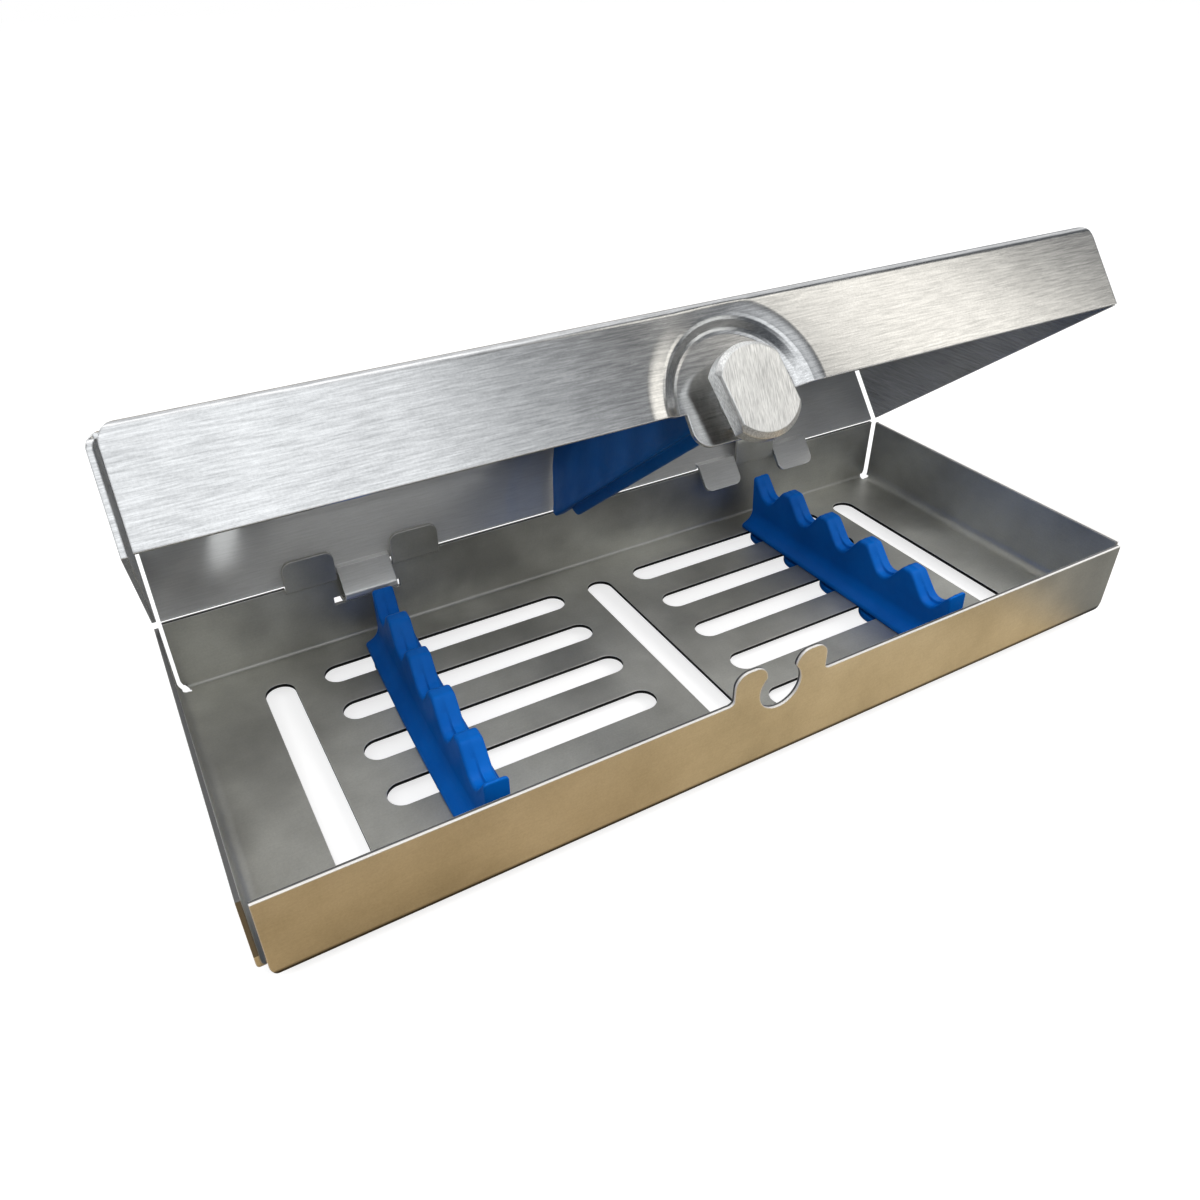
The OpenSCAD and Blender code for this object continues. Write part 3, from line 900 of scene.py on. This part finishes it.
def finished_object(name: str, parts: Sequence[bmesh.types.BMesh], place: Matrix,
                    edges: EasedEdges) -> bpy.types.Object:
    """Joins several closed surfaces into one smooth-shaded object.

    Args:
        name: name of the object.
        parts: its closed surfaces, in millimetres.
        place: where they go, in millimetres.
        edges: how its edges are eased.

    Returns:
        The new object, in metres.
    """
    whole = bpy.data.meshes.new(name)
    joined = bmesh.new()
    for part in parts:
        loose = bpy.data.meshes.new("part")
        part.to_mesh(loose)
        part.free()
        joined.from_mesh(loose)
        bpy.data.meshes.remove(loose)
    joined.transform(Matrix.Scale(MM, 4) @ place)
    if place.determinant() < 0:
        bmesh.ops.reverse_faces(joined, faces=joined.faces)
    for face in joined.faces:
        face.smooth = True
    joined.to_mesh(whole)
    joined.free()
    made = bpy.data.objects.new(name, whole)
    bpy.context.scene.collection.objects.link(made)
    edges.apply(made)
    return made


@dataclass
class LidPose:
    """Where the lid stands in the frame's rest pose, in millimetres and degrees."""

    hinge_y: float = 36.45
    hinge_z: float = 18.05
    opened: float = 39.0

    def matrix(self) -> Matrix:
        """Swings what is drawn in the shut lid to the rest pose."""
        there = Matrix.Translation((0.0, self.hinge_y, self.hinge_z))
        return there @ Matrix.Rotation(math.radians(-self.opened), 4, "X") @ there.inverted()

    def outward(self) -> Vector:
        """Direction of the knob's spindle, out of the lid's front wall."""
        return self.matrix().to_3x3() @ Vector((0.0, -1.0, 0.0))

    def brushed(self, angle: float) -> Vector:
        """Direction of the brushing on the knob's face, turned from upright by an angle."""
        upright = self.matrix().to_3x3() @ Vector((0.0, 0.0, 1.0))
        return Matrix.Rotation(math.radians(angle), 3, self.outward()) @ upright


@dataclass
class SiliconeStud:
    """Neck and head that hold a moulding in a slot, in millimetres below the sheet's inner face."""

    neck: float = 2.6
    head: float = 5.0
    sheet: float = 0.8
    thickness: float = 1.6
    gap: float = 0.05
    low_round: float = 0.5
    low_start: float = -75.0
    top_round: float = 0.3
    root_out: float = 0.25
    root_up: float = 0.2
    rise: float = 0.3

    def mesh(self, y: float) -> bmesh.types.BMesh:
        """Builds one stud.

        Args:
            y: its place along the row.

        Returns:
            Its closed surface.
        """
        top = -self.sheet - self.gap
        low = -self.sheet - self.thickness
        lower = (self.head - self.low_round, low + self.low_round)
        upper = (self.head - self.top_round, top - self.top_round)
        profile: list[Point] = [(0.0, low), (lower[0], low)]
        profile += arc(lower, self.low_round, self.low_start, 0, 5)
        profile += arc(upper, self.top_round, 0, 90, 4)
        profile += [(self.neck + self.root_out, top), (self.neck, top + self.root_up)]
        profile += [(self.neck, self.rise), (0.0, self.rise)]
        made = lathe(profile)
        bmesh.ops.translate(made, verts=made.verts, vec=Vector((0.0, y, 0.0)))
        return made


@dataclass
class MouldedFlange:
    """Convex strip that lies on the sheet, in millimetres."""

    width: float = 10.2
    edge: float = 0.9
    crown: float = 2.3
    gap: float = 0.05
    fillet: float = 0.55
    fillet_steps: int = 4
    foot_round: float = 0.2
    edge_drop: float = 0.25
    edge_in: float = 0.1
    edge_ease: float = 0.06
    back_in: float = 0.35
    back_steps: int = 8

    def radius(self) -> float:
        """Radius of the convex back."""
        rise = self.crown - self.edge
        return ((self.width / 2) ** 2 + rise**2) / (2 * rise)

    def height(self, x: float) -> float:
        """Height of the convex back at a distance from the middle."""
        return self.gap + self.crown - self.radius() + math.sqrt(self.radius() ** 2 - x**2)

    def side(self, root: float) -> list[Point]:
        """Right-hand outline from under the middle to the foot of what stands on it.

        Args:
            root: half thickness of the web at its foot, or its distance from the middle.

        Returns:
            Points from the bottom up, the last on the web's face.
        """
        half = self.width / 2
        radius = self.radius()
        low = self.gap + self.crown - radius
        foot_x = root + self.fillet
        foot_z = low + math.sqrt((radius + self.fillet) ** 2 - foot_x**2)
        touch = math.degrees(math.atan2(foot_z - low, foot_x))
        points: list[Point] = [(0.0, self.gap)]
        corner = (half - self.foot_round, self.gap + self.foot_round)
        points += arc(corner, self.foot_round, -90, 0, 3)
        eased = half - self.edge_in
        points += [(half, self.height(half) - self.edge_drop),
                   (eased, self.height(eased) - self.edge_ease)]
        far, near = half - self.back_in, radius * math.cos(math.radians(touch))
        back = [far + (near - far) * i / self.back_steps for i in range(self.back_steps)]
        points += [(x, self.height(x)) for x in back]
        return points + arc((foot_x, foot_z), self.fillet, 180.0 + touch, 180.0,
                            self.fillet_steps)


@dataclass
class NotchedRail:
    """One rail: flange, web with five valleys, and five studs, in millimetres."""

    name: str
    node: str
    body: str
    centre_x: float
    skew: float
    bow: float = 0.0
    lean: float = 0.0
    half_length: float = 30.0
    web: float = 4.3
    peak: float = 13.7
    valley: float = 9.0
    valley_radius: float = 2.6
    peak_radius: float = 1.3
    peak_share: float = 0.95
    end_radius: float = 0.6
    pitch: float = 12.4
    outer_row: int = 2
    floor: float = 2.4
    top_round: float = 0.7
    mismatch: float = 0.5
    parting: float = 0.06
    parting_half: float = 0.16
    soft_steps: int = 6
    soft_step: float = 0.13
    soft_width: float = 3.2
    steps: int = 260
    edges: EasedEdges = EasedEdges(0.22)
    flange: MouldedFlange = field(default_factory=lambda: MouldedFlange(fillet=3.2, fillet_steps=8))
    stud: SiliconeStud = field(default_factory=SiliconeStud)

    def web_height(self, y: float) -> float:
        """Height of the web's top before it is softened.

        Args:
            y: place along the rail.

        Returns:
            The height above the floor.
        """
        row = max(-self.outer_row, min(self.outer_row, round(y / self.pitch)))
        away = abs(y - self.pitch * row)
        middle = self.valley + self.valley_radius
        reach = self.pitch / 2 - self.peak_radius * self.peak_share
        drop = self.peak - middle
        lean = math.atan2(drop, reach) - math.acos(self.valley_radius / math.hypot(reach, drop))
        edge = self.valley_radius * math.cos(lean)
        if away < edge:
            height = middle - circle_height(self.valley_radius, away)
        elif away < reach:
            low = middle + self.valley_radius * math.sin(lean)
            height = low + (self.peak - low) * (away - edge) / (reach - edge)
        else:
            height = self.peak
        end = self.half_length - abs(y)
        if end < self.end_radius:
            rounded = circle_height(self.end_radius, self.end_radius - end)
            height = min(height, self.peak - self.end_radius + rounded)
        return min(height, self.peak)

    def soft_height(self, y: float) -> float:
        """Web height with the small radii that a mould leaves on its corners.

        Args:
            y: place along the rail.

        Returns:
            The height above the floor.
        """
        total = weight = 0.0
        for i in range(-self.soft_steps, self.soft_steps + 1):
            spot = max(-self.half_length, min(self.half_length, y + self.soft_step * i))
            share = math.exp(-((i / self.soft_width) ** 2))
            total += share * self.web_height(spot)
            weight += share
        return total / weight

    def ring(self, y: float) -> Ring:
        """Closed outline of the rail.

        Args:
            y: place along the rail.

        Returns:
            The outline.
        """
        half, soft, seam = self.web / 2, self.top_round, self.parting_half
        top = self.soft_height(y) - self.parting
        lower = top - self.mismatch * min(1.0, (self.peak - top) / (self.peak - self.valley))
        foot = self.flange.side(half)
        right = foot + arc((half - soft, top - soft), soft, 0, 90, 5)
        right += [(seam, top), (0.0, top + self.parting)]
        left = foot[1:] + arc((half - soft, lower - soft), soft, 0, 90, 5) + [(seam, lower)]
        drift = -self.bow * (1.0 - (y / self.half_length) ** 2)
        outline = right + [(-x, z) for x, z in reversed(left)]
        crown = self.flange.crown
        return [Vector((x + drift - self.lean * max(0.0, z - crown) / self.peak, y, z))
                for x, z in outline]

    def build(self) -> bpy.types.Object:
        """Builds the rail and puts it on its body in place of the plain solid.

        Returns:
            The new object.
        """
        places = [-self.half_length + 2 * self.half_length * i / self.steps
                  for i in range(self.steps + 1)]
        parts = [loft([self.ring(y) for y in places])]
        rows = range(-self.outer_row, self.outer_row + 1)
        parts += [self.stud.mesh(self.pitch * row) for row in rows]
        there = Matrix.Translation((self.centre_x, 0.0, self.floor))
        place = there @ Matrix.Rotation(math.radians(self.skew), 4, "Z")
        made = finished_object(self.name, parts, place, self.edges)
        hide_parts(self.node)
        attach(made, self.body)
        return made


@dataclass
class LeaningPad:
    """The pad in the lid: flange, leaning blade with a lip, and studs, in millimetres."""

    name: str = "hold_down_pad_moulded"
    node: str = "hold_down_pad"
    body: str = "lid"
    half_length: float = 31.59
    thickness: float = 2.2
    height: float = 17.7
    lean: float = 5.5
    root: float = 1.0
    tip_round: float = 0.4
    corner: float = 1.4
    corner_steps: int = 10
    inner_half: float = 30.0
    inner_steps: int = 40
    lip_height: float = 1.9
    lip_thickness: float = 1.2
    lip_lean: float = 0.5
    lip_end: float = 8.0
    lip_front: float = 1.2
    lip_fade: float = 0.9
    lip_round: float = 0.35
    lip_inset: float = 0.03
    lip_steps: int = 130
    stud_pitch: float = 18.0
    floor: float = 2.4
    edges: EasedEdges = EasedEdges(0.2)
    flange: MouldedFlange = field(default_factory=MouldedFlange)
    stud: SiliconeStud = field(default_factory=SiliconeStud)

    def blade_top(self, y: float) -> float:
        """Height of the blade's free edge.

        Args:
            y: place along the pad.

        Returns:
            The height above the lid's inner face.
        """
        end = self.half_length - abs(y)
        if end >= self.corner:
            return self.height
        return self.height - self.corner + circle_height(self.corner, self.corner - end)

    def shift(self, z: float) -> float:
        """How far the blade's middle has leant at a height."""
        start = self.flange.edge
        return -self.root - self.lean * max(0.0, (z - start) / (self.height - start))

    def face(self, foot: float, top: float, side: float) -> list[Point]:
        """Points up one face of the blade.

        Args:
            foot: height at which the flange's fillet ends.
            top: height of the free edge.
            side: distance of the face from the blade's middle.

        Returns:
            The points between foot and top.
        """
        heights = [foot + (top - foot) * share for share in (0.3, 0.6, 0.9)]
        return [(self.shift(z) + side, z) for z in heights]

    def ring(self, y: float) -> Ring:
        """Closed outline of flange and blade.

        Args:
            y: place along the pad.

        Returns:
            The outline.
        """
        half, soft = self.thickness / 2, self.tip_round
        top = self.blade_top(y)
        right = self.flange.side(half - self.root)
        left = [(-x, z) for x, z in self.flange.side(half + self.root)]
        right += self.face(right[-1][1], top, half)
        left += self.face(left[-1][1], top, -half)
        tip = arc((self.shift(top) + half - soft, top - soft), soft, 0, 90, 4)
        tip += arc((self.shift(top) - half + soft, top - soft), soft, 90, 180, 4)
        outline = right + tip + list(reversed(left[1:]))
        return [Vector((x, y, z)) for x, z in outline]

    def lip_ring(self, y: float, end: float) -> Ring:
        """Closed outline of the lip at a place along the pad.

        Args:
            y: the place.
            end: where the lip ends on this side of the middle.

        Returns:
            The outline.
        """
        low, high = self.height - self.lip_thickness, self.height + self.lip_height
        near_end = 1.0 - min(1.0, max(0.0, (end - abs(y)) / self.lip_fade))
        high -= self.lip_fade * (1.0 - circle_height(1.0, near_end))
        slope = self.lip_lean / (self.lip_height + self.lip_thickness)
        start = self.shift(self.height) + self.thickness / 2
        inset, soft, thick = self.lip_inset, self.lip_round, self.lip_thickness
        under, tip = start + slope * (high - soft - low), start + slope * (high - low)
        outline = [(start - thick, low), (start - inset, low), (under - inset, high - soft)]
        outline += arc((tip - soft - inset, high - soft), soft, 20, 90, 4)
        outline += arc((tip - thick + soft + inset, high - soft), soft, 90, 160, 4)
        outline += [(under - thick + inset, high - soft)]
        return [Vector((x, y, z)) for x, z in outline]

    def places(self) -> list[float]:
        """Places of the blade's outlines, close together where its corners turn.

        Returns:
            The places along the pad, in order.
        """
        turns = (math.radians(90 - 90 * i / self.corner_steps)
                 for i in range(self.corner_steps + 1))
        ends = [round(self.half_length - self.corner * (1 - math.cos(a)), 4) for a in turns]
        straight = self.half_length - self.corner
        inner = (-self.inner_half + 2 * self.inner_half * i / self.inner_steps
                 for i in range(self.inner_steps + 1))
        return sorted(set(ends) | {-y for y in ends} | {y for y in inner if abs(y) < straight})

    def lip(self) -> bmesh.types.BMesh:
        """Builds the lip along the blade's free edge.

        Returns:
            Its closed surface.
        """
        reach = self.half_length - self.lip_end
        front = self.half_length - self.lip_front
        rows = [-front + (front + reach) * i / self.lip_steps for i in range(self.lip_steps + 1)]
        return loft([self.lip_ring(y, reach if y > 0 else front) for y in rows])

    def build(self, pose: LidPose) -> bpy.types.Object:
        """Builds the pad and puts it on the lid in place of the plain solid.

        Args:
            pose: where the lid stands.

        Returns:
            The new object.
        """
        parts = [loft([self.ring(y) for y in self.places()]), self.lip()]
        parts += [self.stud.mesh(self.stud_pitch * row) for row in (-1, 0, 1)]
        there = Matrix.Translation((0.0, 0.0, 2 * pose.hinge_z - self.floor))
        shut = there @ Matrix.Scale(-1.0, 4, (0.0, 0.0, 1.0))
        made = finished_object(self.name, parts, pose.matrix() @ shut, self.edges)
        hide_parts(self.node)
        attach(made, self.body)
        return made


@dataclass
class SteelParts:
    """The steel pieces, which keep their exact solids and get their finish here."""

    nodes: dict[str, bpy.types.Object]

    def dress(self, node: str, finish: bpy.types.Material) -> None:
        """Gives a solid its material.

        Args:
            node: name of the solid.
            finish: its material.
        """
        piece = self.nodes[node]
        piece.data.materials.clear()
        piece.data.materials.append(finish)
        log.info("%s: %s", node, finish.name)


@dataclass(frozen=True)
class SoftLamp:
    """A soft square lamp, in metres and watts."""

    name: str
    at: tuple[float, float, float]
    size: float
    power: float
    colour: tuple[float, float, float]
    aim: tuple[float, float, float] = (0.0, 0.0, 0.02)

    def build(self) -> None:
        """Hangs the lamp so that it faces the cassette."""
        data = bpy.data.lights.new(self.name, "AREA")
        data.shape, data.size, data.energy, data.color = (
            "SQUARE", self.size, self.power, self.colour)
        made = bpy.data.objects.new(self.name, data)
        made.location = self.at
        ahead = Vector(self.aim) - Vector(self.at)
        made.rotation_euler = ahead.to_track_quat("-Z", "Y").to_euler()
        made.visible_glossy = False
        bpy.context.scene.collection.objects.link(made)


@dataclass(frozen=True)
class Table:
    """The table that the camera doesn't see: wood by the cassette, grey round it, in metres."""

    left_wood: Colour = (0.42, 0.293, 0.148, 1.0)
    right_wood: Colour = (0.575, 0.425, 0.235, 1.0)
    grey: Colour = (0.17, 0.17, 0.165, 1.0)
    wood_span: Point = (-0.030, 0.000)
    right_span: Point = (0.074, 0.090)
    back_span: Point = (-0.036, -0.030)
    front_span: Point = (-0.100, -0.072)

    def colour(self, s: Sockets) -> Socket:
        """Colour of the table by its place.

        Args:
            s: helper of the floor's tree.

        Returns:
            The colour's socket.
        """
        x, y, _ = s.parts(s.coordinate("Object"))
        bare = s.math("MAXIMUM", s.ramp(x, *self.right_span), s.ramp(y, *self.back_span))
        bare = s.math("MAXIMUM", bare, s.ramp(y, *self.front_span, 1.0, 0.0))
        wood = s.blend(s.ramp(x, *self.wood_span), self.left_wood, self.right_wood)
        return s.blend(bare, wood, self.grey)


@dataclass
class Studio:
    """Pale floor, white surroundings and soft lamps."""

    floor_half: float = 3.0
    floor_drop: float = 0.0002
    floor_rough: float = 0.9
    floor_gloss: float = 0.1
    floor_pale: Colour = (0.40, 0.40, 0.40, 1.0)
    floor_glow: Colour = (0.74, 0.74, 0.74, 1.0)
    no_glow: Colour = (0.0, 0.0, 0.0, 1.0)
    ambient: Colour = (0.10, 0.108, 0.12, 1.0)
    fill: float = 0.6
    turn_start: float = 90.0
    full_turn: float = 360.0
    table: Table = Table()
    lamps: tuple[SoftLamp, ...] = (
        SoftLamp("window_right", (0.62, -0.50, 0.80), 0.6, 7.0, (1.0, 0.98, 0.95)),
        SoftLamp("window_top", (-0.45, -0.1, 1.0), 0.9, 6.5, (0.95, 0.97, 1.0)))

    def floor(self) -> None:
        """Lays the floor just under the stud heads."""
        flat = bpy.data.meshes.new("studio_floor")
        h, z = self.floor_half, -self.floor_drop
        flat.from_pydata([(-h, -h, z), (h, -h, z), (h, h, z), (-h, h, z)], [], [(0, 1, 2, 3)])
        made = bpy.data.objects.new("studio_floor", flat)
        bpy.context.scene.collection.objects.link(made)
        paint, s, shader = empty_material("pale_floor")
        shader.inputs["Roughness"].default_value = self.floor_rough
        shader.inputs["Specular IOR Level"].default_value = self.floor_gloss
        shader.inputs["Emission Strength"].default_value = 1.0
        seen = s.add("ShaderNodeLightPath").outputs["Is Camera Ray"]
        body = s.blend(seen, self.table.colour(s), self.floor_pale)
        s.link(body, shader.inputs["Base Color"])
        s.link(s.blend(seen, self.no_glow, self.floor_glow), shader.inputs["Emission Color"])
        flat.materials.append(paint)

    def panels(self, s: Sockets) -> object:
        """Colour of the surroundings as steel shows them.

        Args:
            s: helper of the world's tree.

        Returns:
            The colour's socket.
        """
        x, y, z = s.parts(s.coordinate("Generated"))
        turn = s.math("DEGREES", s.math("ARCTAN2", x, s.times(y, -1.0)))
        turn = s.math("ADD", turn, self.full_turn + self.turn_start)
        turn = s.math("MODULO", turn, self.full_turn)
        lift = s.math("DEGREES", s.math("ARCSINE", z))
        colour: object = self.ambient
        for panel in Sky:
            across, up, glow = panel.value
            wide = s.span(turn, [edge + self.turn_start for edge in across])
            colour = s.blend(s.times(wide, s.span(lift, up)), colour, glow, "ADD")
        return colour

    def surroundings(self) -> None:
        """Sets white surroundings that metal shows, and plainer light for the rest."""
        world = bpy.data.worlds.new("studio")
        bpy.context.scene.world = world
        world.use_nodes = True
        world.node_tree.nodes.clear()
        s = Sockets(world.node_tree)
        rays = s.add("ShaderNodeLightPath").outputs
        shiny = s.math("MAXIMUM", rays["Is Glossy Ray"], rays["Is Transmission Ray"])
        plain = s.math("ADD", s.times(rays["Is Camera Ray"], 1.0 - self.fill), self.fill)
        back = s.add("ShaderNodeBackground", Strength=1.0)
        s.link(s.blend(shiny, plain, self.panels(s)), back.inputs["Color"])
        out = s.add("ShaderNodeOutputWorld")
        s.link(back.outputs[0], out.inputs[0])

    def build(self) -> None:
        """Builds floor, surroundings and lamps, and sets the plain view transform."""
        self.floor()
        self.surroundings()
        for lamp in self.lamps:
            lamp.build()
        bpy.context.scene.view_settings.view_transform = "Standard"


@dataclass
class PhotoCamera:
    """Camera that stands where the photograph was taken, in degrees, metres and pixels."""

    azimuth: float = -28.27
    elevation: float = 33.86
    roll: float = -1.17
    position: tuple[float, float, float] = (-0.0870, -0.1266, 0.1212)
    focal_px: float = 936.46
    centre_px: Point = (577.7, 581.5)
    sensor: float = 36.0
    clip: Point = (0.005, 20.0)

    def build(self) -> bpy.types.Object:
        """Makes the camera and makes it the scene's own.

        Returns:
            The camera.
        """
        data = bpy.data.cameras.new("photo_camera")
        data.sensor_width = self.sensor
        data.lens = self.focal_px / PHOTO_SIZE * self.sensor
        data.shift_x = (PHOTO_SIZE / 2 - self.centre_px[0]) / PHOTO_SIZE
        data.shift_y = (self.centre_px[1] - PHOTO_SIZE / 2) / PHOTO_SIZE
        data.clip_start, data.clip_end = self.clip
        made = bpy.data.objects.new("photo_camera", data)
        az, el = math.radians(self.azimuth), math.radians(self.elevation)
        back = Vector((math.sin(az) * math.cos(el), -math.cos(az) * math.cos(el), math.sin(el)))
        turn = (-back).to_track_quat("-Z", "Y").to_matrix().to_4x4()
        roll = Matrix.Rotation(math.radians(self.roll), 4, "Z")
        made.matrix_world = Matrix.Translation(self.position) @ turn @ roll
        bpy.context.scene.collection.objects.link(made)
        bpy.context.scene.camera = made
        return made


BASE_STEEL = SheetFinish(
    name="base_sheet_steel", dark=(0.47, 0.467, 0.43, 1), light=(0.82, 0.815, 0.755, 1),
    edge=(0.95, 0.93, 0.90, 1), rough_low=0.38, rough_high=0.50, grain_length=5.0,
    grain_width=0.4, grain_depth=0.0015, seed=1.0, cloud_share=0.68, edge_gain=9.0)
LID_STEEL = SheetFinish(
    name="lid_sheet_steel", dark=(0.36, 0.365, 0.37, 1), light=(0.88, 0.885, 0.89, 1),
    edge=(0.92, 0.92, 0.92, 1), rough_low=0.15, rough_high=0.21, grain_length=5.0,
    grain_width=0.3, grain_depth=0.0036, seed=7.0, satin=0.2)
SPRING_STEEL = SheetFinish(
    name="spring_steel", dark=(0.25, 0.25, 0.26, 1), light=(0.38, 0.38, 0.38, 1),
    edge=(0.6, 0.6, 0.6, 1), rough_low=0.28, rough_high=0.4, grain_length=1.0,
    grain_width=0.2, grain_depth=0.003, seed=4.0)
KNOB_STEEL = TurnedFinish(
    name="knob_steel", dark=(0.50, 0.50, 0.49, 1), light=(1.0, 1.0, 0.98, 1),
    brush_angle=-10.0, roughness=0.32, seed=2.0)
RAIL_BLUE = SiliconeFinish(
    name="rail_silicone_blue", deep=(0.0, 0.105, 0.46, 1), pale=(0.001, 0.13, 0.54, 1),
    painted_glint=(0.02, 0.25, 0.86, 1), roughness=0.40, seed=5.0)
# The rails' silicone painted darker, as painted shade for the pad inside the lid.
SHADED_PAD_BLUE = SiliconeFinish(
    name="pad_silicone_blue_shaded", deep=(0.0, 0.08, 0.31, 1), pale=(0.001, 0.10, 0.37, 1),
    painted_glint=(0.004, 0.15, 0.52, 1), roughness=0.42, seed=6.0)
FRONT_FACE_Y = -36.3


def main() -> None:
    """Builds the studio and every piece, and reports each."""
    logging.basicConfig(level=logging.INFO, format="%(name)s: %(message)s")
    PhotoCamera().build()
    Studio().build()
    effects = Effects.built()
    pose = LidPose()
    steel = SteelParts(frame["nodes"])
    steel.dress("base_tray", BASE_STEEL.material(effects, marks=BaseMarks()))
    outward = pose.outward()
    dish = Dish(pose.matrix() @ Vector((0.0, FRONT_FACE_Y, pose.hinge_z)) * MM, outward)
    steel.dress("lid_tray", LID_STEEL.material(effects, dish=dish))
    brushed = pose.brushed(KNOB_STEEL.brush_angle)
    steel.dress("latch_knob", KNOB_STEEL.material(effects, outward, brushed))
    springs = SPRING_STEEL.material(effects)
    for node in ("flat_washer", "split_washer", "retaining_clip"):
        steel.dress(node, springs)
    blue = RAIL_BLUE.material(effects)
    for rail in (NotchedRail(name="rail_left_moulded", node="rail_left", body="left_rail",
                             centre_x=-48.8, skew=-2.2, bow=0.5),
                 NotchedRail(name="rail_right_moulded", node="rail_right", body="right_rail",
                             centre_x=49.4, skew=1.3, lean=0.8)):
        made = rail.build()
        made.data.materials.append(blue)
        log.info("%s: %d points", made.name, len(made.data.vertices))
    pad = LeaningPad().build(pose)
    pad.data.materials.append(SHADED_PAD_BLUE.material(effects))
    log.info("%s: %d points", pad.name, len(pad.data.vertices))


if __name__ == "__main__":
    main()
